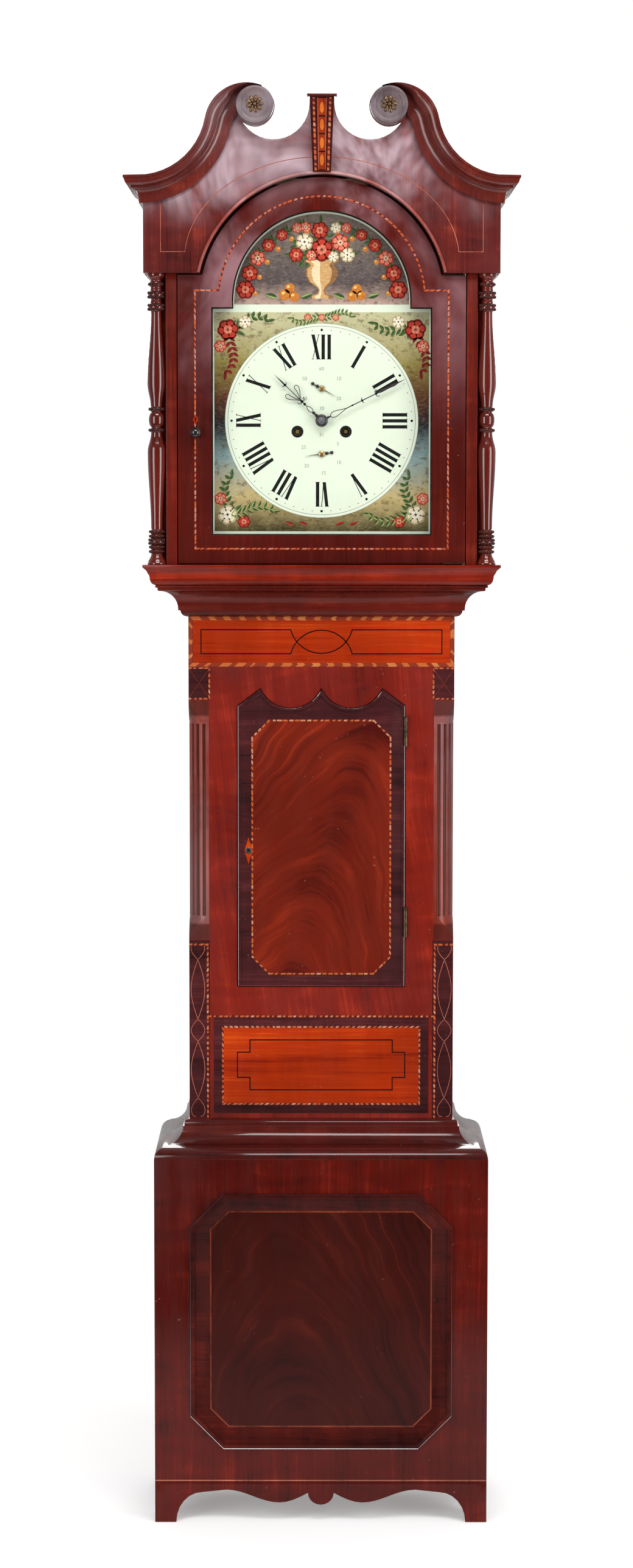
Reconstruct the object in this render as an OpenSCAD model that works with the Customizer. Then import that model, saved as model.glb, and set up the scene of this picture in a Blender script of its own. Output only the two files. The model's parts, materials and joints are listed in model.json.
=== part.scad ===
// Longcase clock: break-arch painted dial, swan-neck hood, inlaid trunk and a panelled base.
// The floor is z = 0 and the front faces -Y. The origin is on the floor, at the middle of the plan.
// Depths are measured forward from the wall plane, and turn into Y in one place, at(depth).

/* [Base] */
// Projection of the base on each side of the trunk, and in front of it
base_out = 55; // [44:1:66]
// Height of the bracket feet
foot_h = 65; // [55:1:90]
// Width of each foot at the floor
foot_w = 34; // [26:1:45]
// Height of the base box above the feet
base_h = 525; // [470:1:600]
// Distance of the octagonal panel from the sides of the base
panel_side = 57; // [48:1:70]
// Height of the octagonal panel on the base
panel_h = 414; // [380:1:440]
// Width and height cut from each corner of the panel
panel_cut = 53; // [30:1:70]
// Height of the moulding between base and trunk
base_mould_h = 57; // [45:1:70]

/* [Trunk] */
// Width of the trunk
trunk_w = 422; // [400:1:440]
// Depth of the trunk from the wall
trunk_d = 195; // [190:1:230]
// Height of the trunk between its two mouldings
trunk_h = 805; // [790:1:840]
// Thickness of the case boards
board_t = 18; // [14:0.5:20]
// Thickness of the backboard
back_t = 12; // [9:0.5:14]
// Bore in the backboard for the screw that steadies the clock against a wall
wall_hole_d = 8; // [6:0.5:12]
// Width of the trunk door
door_w = 266; // [240:1:280]
// Height of the trunk door up to its shoulders
door_h = 449; // [400:1:470]
// Distance from the top of the base moulding to the door
door_rise = 214; // [180:1:240]
// Rise of the door's three points above its shoulders
door_crest = 27; // [20:1:32]
// Distance of the two outer points from the middle of the door
crest_x = 97; // [85:1:105]
// Thickness of the trunk door
door_t = 20; // [16:0.5:22]
// Radius of the quarter columns
quarter_r = 32; // [26:1:34]
// Height of the quarter columns
quarter_h = 383; // [340:1:400]
// Distance from the top of the base moulding to the quarter columns
quarter_rise = 289; // [260:1:310]
// Height of the cove under the hood
throat_h = 51; // [40:1:60]

/* [Hood] */
// Projection of the hood's frieze on each side of the trunk, and in front of it
hood_out = 66; // [61:0.5:72]
// Projection of the hood's bottom moulding beyond the frieze
hood_base_lip = 3; // [1:0.5:6]
// Height of the hood's bottom moulding
hood_base_h = 32; // [26:1:40]
// Height of the columns
column_h = 452; // [440:1:470]
// Distance of a column's centre from the faces of the frieze
column_inset = 19; // [17:1:22]
// Largest radius of a column
column_r = 14; // [11:0.5:15]
// Distance of the hood door from each side of the frieze
hood_door_side = 52.5; // [50:0.5:56]
// Thickness of the hood door
hood_door_t = 20; // [16:0.5:22]
// Height of the arch centre below the bottom of the frieze
arch_drop = 42; // [36:1:46]
// Radius of the arch cut in the frieze
frieze_arch_r = 194; // [190:1:198]
// Gap between the hood door's arch and the arch of the frieze
arch_gap = 4; // [4:0.5:6]
// Width of the wood on each side of the glass in the hood door
door_wood_w = 52.5; // [50:0.5:58]
// Radius of the arched part of the glass
sight_arch_r = 140; // [125:1:145]
// Height of the cornice moulding
cornice_h = 41; // [34:1:46]
// Projection of the cornice in front of the frieze
cornice_out = 29.5; // [22:0.5:34]
// Height of the cornice tips above the bottom of the frieze
cornice_rise = 147.5; // [142:0.5:156]
// Radius of the outer curve that rises from the cornice tip
neck_r = 106; // [98:1:112]
// Radius of the outer curve that turns over the scroll
crown_r = 65; // [60:1:70]
// Distance of a scroll's centre from the middle of the hood
scroll_x = 103.5; // [96:0.5:110]
// Height of a scroll's centre above the bottom of the frieze
scroll_rise = 255; // [250:1:262]
// Radius of a scroll
scroll_r = 29; // [25:0.5:32]
// Radius of the hollow cut beside each scroll
hollow_r = 56; // [52:1:58]

/* [Dial and movement] */
// Width of dial plate that the hood door hides on each side
dial_cover = 6; // [3:0.5:9]
// Height of the dial centre above the hood's bottom moulding
dial_rise = 225; // [220:1:230]
// Distance of the winding squares from the middle
winding_x = 38; // [36:0.5:40]
// Length of the minute hand from its arbor
minute_len = 146; // [130:1:150]
// Length of the hour hand from its arbor
hour_len = 103; // [90:1:110]
// Space between the two plates
plate_gap = 60; // [58:1:64]
// Length of the pendulum from the suspension to the middle of the bob
pendulum_len = 994; // [960:1:1010]
// Radius of the pendulum bob
bob_r = 55; // [45:1:60]
// Radius of the barrels that the lines wind on
barrel_r = 25; // [23:0.5:26]
// Radius of the driving weights
weight_r = 27; // [22:0.5:28]
// Length of the driving weights
weight_len = 190; // [150:1:220]
// Fall of the weights from wound up to run down
fall = 1200; // [900:10:1240]

/* [Hidden] */
$fn = 64;

// Fits: running clearance on a radius, gap at rest between pieces that move apart, gap between the
// moulding and the disc, play of the doors
run_gap = 0.08;
rest_gap = 0.3;
disc_gap = 1;
door_gap = 1;
end_play = 0.5;

// Finishes
mahogany = [0.36, 0.10, 0.06];
dark_mahogany = [0.22, 0.06, 0.05];
flame_mahogany = [0.45, 0.13, 0.06];
satinwood = [0.72, 0.28, 0.08];
pine = [0.62, 0.47, 0.30];
brass = [0.76, 0.58, 0.27];
steel = [0.50, 0.51, 0.53];
blue_steel = [0.12, 0.13, 0.20];
iron = [0.16, 0.16, 0.17];
dial_paint = [0.90, 0.90, 0.84];
gut = [0.78, 0.66, 0.44];

// Heights, from the floor up
base_z = foot_h;
base_top = base_z + base_h;
trunk_z = base_top + base_mould_h;
trunk_top = trunk_z + trunk_h;
throat_top = trunk_top + throat_h;
hood_z = throat_top + hood_base_h;
frieze_z = hood_z + column_h;
arch_z = frieze_z - arch_drop;
cornice_top = frieze_z + cornice_rise;
cornice_z = cornice_top - cornice_h;
scroll_z = frieze_z + scroll_rise;
dial_z = hood_z + dial_rise;
roof_t = 9;
roof_z = cornice_top - roof_t;

// Widths
base_w = trunk_w + 2 * base_out;
panel_w = base_w - 2 * panel_side;
hood_w = trunk_w + 2 * hood_out;
hood_door_w = hood_w - 2 * hood_door_side;
sight_w = hood_door_w - 2 * door_wood_w;
dial_w = sight_w + 2 * dial_cover;

// Depths, from the wall forward. Every moulding projects as much in front as at the sides
base_d = trunk_d + base_out;
hood_d = trunk_d + hood_out;
hood_base_out = hood_out + hood_base_lip;
throat_out = 50;
disc_out = cornice_out + 2;
flower_t = 4;
total_d = hood_d + disc_out + flower_t;
function at(depth) = total_d / 2 - depth;

// Hood: the fascia, the door behind its face, the mask behind the door and the dial behind that
fascia_t = 18;
door_set = 14;
hood_door_front = hood_d - door_set;
hood_door_back = hood_door_front - hood_door_t;
mask_t = 6;
mask_front = hood_door_back - 2;
dial_front = mask_front - mask_t - 4;
dial_t = 2;
dial_back = dial_front - dial_t;
frieze_t = 19;
hood_side_x = hood_w / 2 - frieze_t;
column_x = hood_w / 2 - column_inset;
column_d = hood_d - column_inset;
stile_in = hood_door_w / 2 + 1.5;
stile_out = column_x - column_r - 1;
stile_back = mask_front - mask_t;

// Hood door pivots, just in front of its face near the right edge
pivot_x = hood_door_w / 2 - 2.5;
pivot_d = hood_door_front + 1.5;
pivot_r = 2.4;
pivot_len = 8;
door_foot_gap = 2;
sight_z = hood_z + 46;
sight_shoulder_z = arch_z - 10;
rebate = 4;
glass_t = 3;

// Door of the trunk and the hinge pin in front of its right edge
door_z = trunk_z + door_rise;
door_front = trunk_d + 3;
door_back = door_front - door_t;
lip_back = trunk_d - 4;
lip_drop = 7;
crest_r = (pow(crest_x / 2, 2) + pow(door_crest + 4, 2)) / (2 * (door_crest + 4));
crest_z = door_z + door_h - 4 + crest_r;
hinge_x = door_w / 2 + door_gap;
hinge_d = trunk_d + 4;
knuckle_r = 3.5;
hinge_pin_r = 1.3;
hinge_h = 48;
hinge_heights = [door_z + 80, door_z + door_h - 64];
leaf_t = 1.6;
leaf_w = 15;
lock_z = door_z + 218;
lock_x = -(door_w / 2 - 17);
lock_w = 34;
lock_h = 38;
lock_t = 10;
bolt_h = 12;
bolt_t = 5;
bolt_throw = 6;

// Movement: local z runs forward from the front face of the back plate
plate_t = 3;
plate_half = 78;
plate_round = 24;
seat_t = 20;
seat_top = dial_z - 88;
seat_z = seat_top - seat_t;
plate_top = dial_z + 92;
front_plate_d = trunk_d - 23;
movement_d = front_plate_d - plate_t - plate_gap;
pivot_hole = 1.5;
dial_u = dial_front - movement_d;

// Going train. A wheel's arbor stands where its teeth mesh with the next pinion
great_m = 0.8;
great_n = 96;
centre_pinion_n = 8;
centre_m = 0.85;
centre_n = 60;
third_pinion_n = 8;
third_m = 0.8;
third_n = 56;
escape_pinion_n = 7;
escape_r = 20;
escape_n = 30;
seconds_rise = 50;
date_drop = 52;
great_c = (great_n + centre_pinion_n) * great_m / 2;
great_pos = [winding_x, dial_z - sqrt(great_c * great_c - winding_x * winding_x)];
centre_pos = [0, dial_z];
escape_pos = [0, dial_z + seconds_rise];
third_c = (centre_n + third_pinion_n) * centre_m / 2;
escape_c = (third_n + escape_pinion_n) * third_m / 2;
third_up = (third_c * third_c - escape_c * escape_c + seconds_rise * seconds_rise) / (2 * seconds_rise);
third_pos = [sqrt(third_c * third_c - third_up * third_up), dial_z + third_up];
anchor_pos = [0, escape_pos[1] + escape_r * sqrt(2)];
pallet_gap = 1.6;

// Motion work, between the front plate and the dial
cannon_m = 0.78;
cannon_n = 36;
hour_m = 0.72;
hour_n = 72;
minute_pinion_n = 6;
motion_c = cannon_n * cannon_m;
motion_angle = 135;
minute_pos = centre_pos + motion_c * [cos(motion_angle), sin(motion_angle)];
motion_u = plate_gap + plate_t + 4;
date_pos = [0, dial_z - date_drop];

// Striking train, on the left
strike_pos = [-winding_x, great_pos[1]];
strike_m = 0.8;
strike_n = 84;
pin_pinion_n = 8;
pin_m = 0.75;
pin_n = 64;
gathering_pinion_n = 8;
gathering_m = 0.6;
gathering_n = 56;
warning_pinion_n = 7;
warning_m = 0.55;
warning_n = 48;
fly_pinion_n = 7;
pin_angle = 100;
gathering_angle = 60;
warning_angle = 110;
fly_angle = 200;
function beside(pos, dist, angle) = pos + dist * [cos(angle), sin(angle)];
pin_pos = beside(strike_pos, (strike_n + pin_pinion_n) * strike_m / 2, pin_angle);
gathering_pos = beside(pin_pos, (pin_n + gathering_pinion_n) * pin_m / 2, gathering_angle);
warning_pos = beside(gathering_pos, (gathering_n + warning_pinion_n) * gathering_m / 2, warning_angle);
fly_pos = beside(warning_pos, (warning_n + fly_pinion_n) * warning_m / 2, fly_angle);
pin_rim = 4;
pin_circle = pin_n * pin_m / 2 - 1.6 * pin_m - pin_rim / 2;
hammer_pos = [-64, pin_pos[1] + 21];

// Bell above the plates
bell_r = 50;
bell_x = -10;
bell_z = plate_top + 20;
bell_h = 38;
bell_u = 31;
hammer_r = 6;
hammer_gap = 0.9;

// Pendulum, its suspension behind the back plate, and the crutch that reaches it
pendulum_d = movement_d - plate_t - 24;
rod_r = 2.5;
bob_t = 26;
bob_z = anchor_pos[1] - pendulum_len;
crutch_z = dial_z - 55;
crutch_u = -(plate_t + 9);
cock_u = -(plate_t + 17);
cock_t = 3;
spring_t = 0.6;
spring_w = 9;

// Lines and weights
line_r = 0.6;
pulley_groove = 20.6;
pulley_r = 23;
pulley_w = 7;
line_turn = pulley_groove + rest_gap + line_r;
barrel_u = [16.5, 52];
line_u = (barrel_u[0] + barrel_u[1]) / 2;
line_x = winding_x - barrel_r - rest_gap - line_r;
pulley_x = line_x + line_turn;
pulley_z = seat_z - 52 - fall;
stirrup_t = 1.6;
stirrup_drop = 33;
weight_top = pulley_z - stirrup_drop - 14;

function arc(c, r, a0, a1, n) =
    [for (i = [0:n]) let (a = a0 + (a1 - a0) * i / n) [c[0] + r * cos(a), c[1] + r * sin(a)]];
function flipped(pts) = [for (i = [len(pts) - 1:-1:0]) [-pts[i][0], pts[i][1]]];
function scaled(pts, w, h) = [for (p = pts) [p[0] * w, p[1] * h]];
function raised(pts, x, z) = [for (p = pts) [p[0] + x, p[1] + z]];
function angle_to(a, b) = atan2(b[1] - a[1], b[0] - a[0]);

// A curve that leaves r0 and reaches r1 upright, as a turner blends two diameters
function blend(r0, r1, z0, z1, n = 8) =
    [for (i = [0:n]) let (t = i / n) [r0 + (r1 - r0) * (1 - cos(180 * t)) / 2, z0 + (z1 - z0) * t]];
// A turned bead that stands out from radius r
function bead(r, out, z0, z1, n = 6) =
    [for (i = [0:n]) [r + out * sin(180 * i / n), z0 + (z1 - z0) * (1 - cos(180 * i / n)) / 2]];

module slab(d0, d1) {
    translate([0, at(d0), 0]) rotate([90, 0, 0]) linear_extrude(d1 - d0) children();
}

module runner(x0, x1) {
    translate([x1, at(0), 0]) rotate([90, 0, -90]) linear_extrude(x1 - x0) children();
}

module board(x0, x1, d0, d1, z0, z1) {
    translate([x0, at(d1), z0]) cube([x1 - x0, d1 - d0, z1 - z0]);
}

module both_sides() {
    children();
    mirror([1, 0, 0]) children();
}

module on_arbor(pos) {
    translate([pos[0], at(movement_d), pos[1]]) rotate([90, 0, 0]) children();
}

// A rod along an arbor from u0 to u1
module rod(r, u0, u1) {
    translate([0, 0, u0]) cylinder(r = r, h = u1 - u0);
}

// A moulding that runs round the front and both sides with mitred corners.
// The profile holds [projection, height] from the bottom up.
module mitred(profile, half_w, depth, z, inner_half, inner_d) {
    p = raised(profile, 0, z);
    z0 = p[0][1];
    z1 = p[len(p) - 1][1];
    difference() {
        intersection() {
            slab(0, depth + 200) polygon(concat(raised(p, half_w, 0), flipped(raised(p, half_w, 0))));
            runner(-half_w - 200, half_w + 200)
                polygon(concat([[0, z0]], raised(p, depth, 0), [[0, z1]]));
        }
        board(-inner_half, inner_half, -1, inner_d, z0 - 1, z1 + 1);
    }
}

function octagon(w, h, cut) = [
    [-w / 2 + cut, -h / 2], [w / 2 - cut, -h / 2], [w / 2, -h / 2 + cut], [w / 2, h / 2 - cut],
    [w / 2 - cut, h / 2], [-w / 2 + cut, h / 2], [-w / 2, h / 2 - cut], [-w / 2, -h / 2 + cut]];

// Base

module backboard() color(pine) difference() {
    union() {
        board(-base_w / 2 + board_t, base_w / 2 - board_t, 0, back_t, base_z, base_top);
        board(-trunk_w / 2 + board_t, trunk_w / 2 - board_t, 0, back_t, base_top, roof_z - 30);
        board(-hood_side_x + board_t + 2, hood_side_x - board_t - 2, 0, back_t, hood_z + 2, roof_z - 30);
    }
    both_sides() board(trunk_w / 2 - board_t, trunk_w / 2, -1, back_t + 1, hood_z, seat_z);
    translate([0, at(-1), dial_z + 170]) rotate([90, 0, 0]) cylinder(d = wall_hole_d, h = back_t + 2);
}

module base_sides() color(mahogany) both_sides()
    board(base_w / 2 - board_t, base_w / 2, 0, base_d - board_t, base_z, base_top);

module base_front() color(flame_mahogany)
    board(-base_w / 2, base_w / 2, base_d - board_t, base_d, base_z, base_top);

// An applied panel with a rounded bead round its edge
module base_panel() color(dark_mahogany) {
    bead_w = 9;
    field_t = 3;
    bead_t = 7;
    translate([0, 0, base_z + base_h / 2 + 1]) {
        slab(base_d, base_d + field_t) polygon(octagon(panel_w, panel_h, panel_cut));
        slab(base_d + field_t, base_d + bead_t - 2) difference() {
            polygon(octagon(panel_w, panel_h, panel_cut));
            polygon(octagon(panel_w - 2 * bead_w, panel_h - 2 * bead_w, panel_cut - 0.59 * bead_w));
        }
        slab(base_d + bead_t - 2, base_d + bead_t) difference() {
            polygon(octagon(panel_w - 3, panel_h - 3, panel_cut - 0.88));
            polygon(octagon(panel_w - 2 * bead_w + 3, panel_h - 2 * bead_w + 3,
                panel_cut - 0.59 * (bead_w - 1.5)));
        }
    }
}

apron_top = foot_h - 12;
apron_low = foot_h - 33;
drop_r = 20.7;

// The lower edge of the front apron from its left foot to the middle, in fractions of the span
function apron_edge(half) = let (
        inner = half - foot_w, knee = inner - 42, low = 0.25 * half, cusp = 0.735 * foot_h)
    concat(
        [[-half, 0], [-inner, 0]],
        [for (i = [1:6]) let (a = 90 * i / 6)
            [-inner + (inner - knee) * (1 - cos(a)), (apron_top - 4) * sin(a)]],
        [for (i = [0:8]) let (t = i / 8)
            [-0.57 * half + (0.57 * half - low) * t,
                apron_low + (apron_top - apron_low) * (1 + cos(180 * t)) / 2]],
        [for (i = [1:4]) let (t = i / 4)
            [-low + (low - drop_r) * t, apron_low + (cusp - apron_low) * (1 - cos(90 * t))]],
        [for (i = [1:5]) let (a = 90 * i / 5) [-drop_r * cos(a), cusp - drop_r * 0.94 * sin(a)]]);

module bracket_feet() color(mahogany) {
    foot_t = 20;
    side = base_d - foot_t;
    slab(side, base_d) polygon(concat(
        apron_edge(base_w / 2), flipped(apron_edge(base_w / 2)), [[base_w / 2, foot_h], [-base_w / 2, foot_h]]));
    both_sides() runner(base_w / 2 - foot_t, base_w / 2) polygon(concat(
        [[0, foot_h], [0, 0], [foot_w, 0]],
        [for (i = [1:6]) let (a = 90 * i / 6) [foot_w + 30 * (1 - cos(a)), apron_top * sin(a)]],
        [for (i = [6:-1:1]) let (a = 90 * i / 6) [side - 14 - 30 * (1 - cos(a)), apron_top * sin(a)]],
        [[side - 14, 0], [side, 0], [side, foot_h]]));
}

// A rounded thumb, a deep cove and a small ovolo, in fractions of projection and height
base_profile = concat(
    arc([0.69, 0], 0.31, 0, 80, 6), [[0.67, 0.33]], arc([0.67, 0.81], 0.48, -90, -180, 8),
    [[0.15, 0.81], [0.15, 0.87]], arc([0.04, 0.87], 0.11, 0, 75, 3), [[0, 1]]);

module base_moulding() color(dark_mahogany)
    mitred(scaled(base_profile, base_out, base_mould_h), trunk_w / 2, trunk_d, base_top,
        trunk_w / 2, trunk_d);

// Trunk

module trunk_sides() color(mahogany) both_sides() difference() {
    board(trunk_w / 2 - board_t, trunk_w / 2, 0, trunk_d - board_t, base_top, seat_z);
    board(trunk_w / 2 - board_t - 1, trunk_w / 2 + 1, trunk_d - quarter_r, trunk_d,
        trunk_z + quarter_rise, trunk_z + quarter_rise + quarter_h);
}

// The door below its hollows, grown all round by a gap. Its pointed top is only a lip that lies in a
// shallow recess, so that the points clear the front as the door swings
module door_body(gap)
    translate([-door_w / 2 - gap, door_z - gap]) square([door_w + 2 * gap, door_h - lip_drop + 2 * gap]);

// The outline of the whole door, grown all round by a gap: sloping shoulders and two scallops
module door_shape(gap) difference() {
    w = door_w / 2 + gap;
    top = door_z + door_h + door_crest + 1.2 * gap;
    polygon([[-w, door_z - gap], [w, door_z - gap], [w, door_z + door_h + gap / 2], [crest_x, top],
        [-crest_x, top], [-w, door_z + door_h + gap / 2]]);
    for (s = [-1, 1]) translate([s * crest_x / 2, crest_z]) circle(r = crest_r - gap);
}

module trunk_front() color(flame_mahogany) difference() {
    board(-trunk_w / 2, trunk_w / 2, trunk_d - board_t, trunk_d, base_top, trunk_top);
    slab(trunk_d - board_t - 1, trunk_d) door_body(door_gap);
    slab(lip_back, trunk_d + 1) door_shape(door_gap);
    both_sides() board(trunk_w / 2 - quarter_r, trunk_w / 2 + 1, trunk_d - board_t - 1, trunk_d + 1,
        trunk_z + quarter_rise, trunk_z + quarter_rise + quarter_h);
    for (z = hinge_heights) board(hinge_x - 1, hinge_x + leaf_t, trunk_d - leaf_w, trunk_d + 1, z, z + hinge_h);
    board(-hinge_x - 10, -hinge_x + 1, door_back + 2.5, door_back + 3.5 + bolt_t,
        lock_z - bolt_h / 2 - 1, lock_z + bolt_h / 2 + 1);
}

// A fluted quarter column whose ends spread to a square corner in a lamb's tongue
module quarter_columns() color(dark_mahogany) both_sides() {
    tongue = 34;
    z0 = trunk_z + quarter_rise;
    translate([trunk_w / 2 - quarter_r, at(trunk_d - quarter_r), 0]) {
        difference() {
            translate([0, 0, z0 + tongue]) intersection() {
                cylinder(r = quarter_r, h = quarter_h - 2 * tongue);
                translate([0, -quarter_r, 0]) cube([quarter_r, quarter_r, quarter_h - 2 * tongue]);
            }
            for (a = [-75:20:-15]) rotate(a) translate([quarter_r + 1.2, 0, z0 + tongue + 4])
                cylinder(r = 3.6, h = quarter_h - 2 * tongue - 8);
        }
        for (end = [0, 1]) translate([0, 0, z0 + end * quarter_h]) mirror([0, 0, end]) intersection() {
            translate([0, -quarter_r, 0]) cube([quarter_r, quarter_r, tongue]);
            union() {
                translate([0, -quarter_r, 0]) cube([quarter_r, quarter_r, 5]);
                translate([0, 0, 5]) cylinder(r1 = quarter_r * sqrt(2), r2 = quarter_r, h = tongue - 5);
            }
        }
    }
}

// An ovolo, a fillet and a cove that flares out to carry the hood
throat_profile = concat(
    [[0.05, 0]], arc([0.05, 0.2], 0.19, -60, 0, 3), [[0.31, 0.2], [0.31, 0.25]],
    arc([0.88, 0.25], 0.57, 180, 90, 8), [[0.93, 0.84], [0.93, 0.92], [1, 0.93], [1, 1]]);

module throat_moulding() color(dark_mahogany)
    mitred(scaled(throat_profile, throat_out, throat_h - rest_gap), trunk_w / 2, trunk_d, trunk_top,
        trunk_w / 2, trunk_d - board_t);

module trunk_hinge_leaves() color(brass) for (z = hinge_heights) difference() {
    union() {
        board(hinge_x, hinge_x + leaf_t, trunk_d - leaf_w, trunk_d, z, z + hinge_h);
        for (third = [0, 2]) {
            board(hinge_x, hinge_x + leaf_t, trunk_d - 1, hinge_d, z + third * hinge_h / 3,
                z + (third + 1) * hinge_h / 3);
            translate([hinge_x, at(hinge_d), z + third * hinge_h / 3]) cylinder(r = knuckle_r, h = hinge_h / 3);
        }
        translate([hinge_x, at(hinge_d), z]) cylinder(r = hinge_pin_r, h = hinge_h);
    }
}

// Movement

module seatboard() color(pine) difference() {
    board(-trunk_w / 2, trunk_w / 2, 40, front_plate_d + 8, seat_z, seat_top);
    board(-24, 24, 39, movement_d - plate_t - 2, seat_z - 1, seat_top + 1);
    for (x = [0, -2 * winding_x]) translate([x, 0, 0]) {
        board(line_x - 6, line_x + 6, movement_d + line_u - 16, movement_d + line_u + 16, seat_z - 1,
            seat_top + 1);
        translate([line_x + 2 * line_turn, at(movement_d + line_u), seat_z - 1])
            cylinder(r = line_r + rest_gap, h = seat_t + 2);
    }
}

arbor_holes = [great_pos, centre_pos, third_pos, escape_pos, strike_pos, pin_pos, gathering_pos,
    warning_pos, fly_pos, hammer_pos];
pillar_places = [[-71, seat_top + 10], [71, seat_top + 10], [-34, plate_top - 9], [34, plate_top - 9]];

module plate_blank() difference() {
    union() {
        translate([-plate_half, seat_top]) square([2 * plate_half, plate_top - seat_top - plate_round]);
        translate([-plate_half + plate_round, seat_top])
            square([2 * (plate_half - plate_round), plate_top - seat_top]);
        both_sides() translate([plate_half - plate_round, plate_top - plate_round]) circle(r = plate_round);
    }
}

// Two brass plates joined by turned pillars. Barrel arbors have the larger holes
module movement_frame() color(brass) difference() {
    union() {
        slab(movement_d - plate_t, movement_d) plate_blank();
        slab(movement_d + plate_gap, front_plate_d) plate_blank();
        for (p = pillar_places) on_arbor(p) rotate_extrude() polygon(concat(
            [[0, 0], [6, 0], [6, 6]], blend(4, 4, 8, 24, 2), bead(4, 2.2, plate_gap / 2 - 4, plate_gap / 2 + 4),
            blend(4, 4, plate_gap - 24, plate_gap - 8, 2), [[6, plate_gap - 6], [6, plate_gap], [0, plate_gap]]));
    }
    for (p = arbor_holes) on_arbor(p) {
        big = p == great_pos || p == strike_pos;
        rod((big ? 3 : pivot_hole) + run_gap, -plate_t - 1, plate_gap + plate_t + 1);
    }
    on_arbor(anchor_pos) {
        rod(5, -plate_t - 1, 1);
        rod(pivot_hole + run_gap, plate_gap - 1, plate_gap + plate_t + 1);
    }
    on_arbor(minute_pos) rod(pivot_hole + run_gap, plate_gap - 1, plate_gap + plate_t + 1);
    on_arbor(escape_pos) rod(2 + run_gap, plate_gap - 1, plate_gap + plate_t + 1);
    on_arbor(centre_pos) rod(3 + run_gap, plate_gap - 1, plate_gap + plate_t + 1);
}

// A bridge behind the back plate: it holds the anchor's rear pivot and the pendulum's suspension
module back_cock() color(brass) {
    span = 26;
    head = pendulum_d - spring_w / 2 - 4;
    difference() {
        union() {
            translate([0, 0, 0]) on_arbor(anchor_pos) translate([-span, -8, cock_u])
                cube([2 * span, 16, cock_t]);
            on_arbor(anchor_pos) for (s = [-1, 1]) translate([s * (span - 5) - 5, -8, cock_u])
                cube([10, 16, -cock_u - plate_t]);
            board(-9, 9, head, movement_d + cock_u + cock_t, anchor_pos[1] + 4, anchor_pos[1] + 14);
        }
        on_arbor(anchor_pos) rod(pivot_hole + run_gap, cock_u - 1, cock_u + cock_t + 1);
        board(-spring_t / 2 - 0.55, spring_t / 2 + 0.55, head - 1, pendulum_d + spring_w / 2 + 1,
            anchor_pos[1] + 3, anchor_pos[1] + 15);
    }
}

// A cast bell on a steel stand that is screwed to the back plate
module bell() color(brass) {
    wall = 2;
    outer = concat([[bell_r, 0], [bell_r - 1.5, 5]], arc([0, 0], bell_r - 4, 15, 52, 6),
        [[12, bell_h], [0, bell_h]]);
    inner = concat([[0, bell_h - wall], [11, bell_h - wall]], arc([0, 0], bell_r - 4 - wall, 52, 15, 6),
        [[bell_r - wall - 2, 5], [bell_r - wall, 0]]);
    stand_u = -plate_t - 4;
    translate([bell_x, at(movement_d + bell_u), bell_z]) rotate_extrude() polygon(concat(outer, inner));
    color(steel) {
        translate([bell_x, at(movement_d + bell_u), bell_z + bell_h]) cylinder(r = 5, h = 4);
        board(bell_x - 5, bell_x + 5, movement_d + stand_u, movement_d + bell_u + 5, bell_z + bell_h + 4,
            bell_z + bell_h + 7);
        board(bell_x - 5, bell_x + 5, movement_d + stand_u, movement_d - plate_t, plate_top - 10,
            bell_z + bell_h + 7);
    }
}

// A plate outline with square shoulders and an arch above
module arched(half, z0, shoulder, r) {
    translate([-half, z0]) square([2 * half, shoulder - z0]);
    intersection() {
        translate([0, arch_z]) circle(r = r, $fn = 96);
        translate([-r, z0]) square([2 * r, arch_z + r - z0]);
    }
}

module dial_plate() color(dial_paint) difference() {
    union() {
        slab(dial_back, dial_front) arched(dial_w / 2, sight_z - 5, sight_shoulder_z + 5, sight_arch_r + 6);
        for (x = [-56, 56]) for (z = [-58, 62])
            translate([x, at(dial_back), dial_z + z]) rotate([-90, 0, 0])
                cylinder(r = 4, h = dial_back - front_plate_d);
    }
    for (hole = [[centre_pos, 6], [great_pos, 7.5], [strike_pos, 7.5], [escape_pos, 2.6], [date_pos, 2.6]])
        on_arbor(hole[0]) rod(hole[1], dial_u - dial_t - 1, dial_u + 1);
}

// Hood

hood_base_profile = concat([[0, 0]], arc([0, 0.45], 0.45, -60, 0, 5), [[0.62, 0.62], [0.7, 0.72], [1, 0.88], [1, 1]]);

module hood_base() color(dark_mahogany) difference() {
    mitred(raised(scaled(hood_base_profile, hood_base_out - throat_out, hood_base_h), throat_out, 0),
        trunk_w / 2, trunk_d, throat_top, trunk_w / 2 + 5, trunk_d + 5);
    translate([pivot_x, at(pivot_d), hood_z - pivot_len - 1]) cylinder(r = pivot_r + run_gap, h = pivot_len + 2);
}

// Side boards, the stiles beside the door, and the friezes above the columns
module hood_sides() color(mahogany) both_sides() {
    board(hood_side_x - board_t, hood_side_x, 0, mask_front - mask_t + 7, hood_z, roof_z);
    board(stile_in, stile_out, stile_back, hood_door_front, hood_z, frieze_z);
    board(hood_side_x - board_t, hood_side_x, stile_back, hood_d - fascia_t, frieze_z, roof_z);
    board(hood_side_x, hood_w / 2, 0, hood_d - fascia_t, frieze_z, cornice_top);
}

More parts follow.
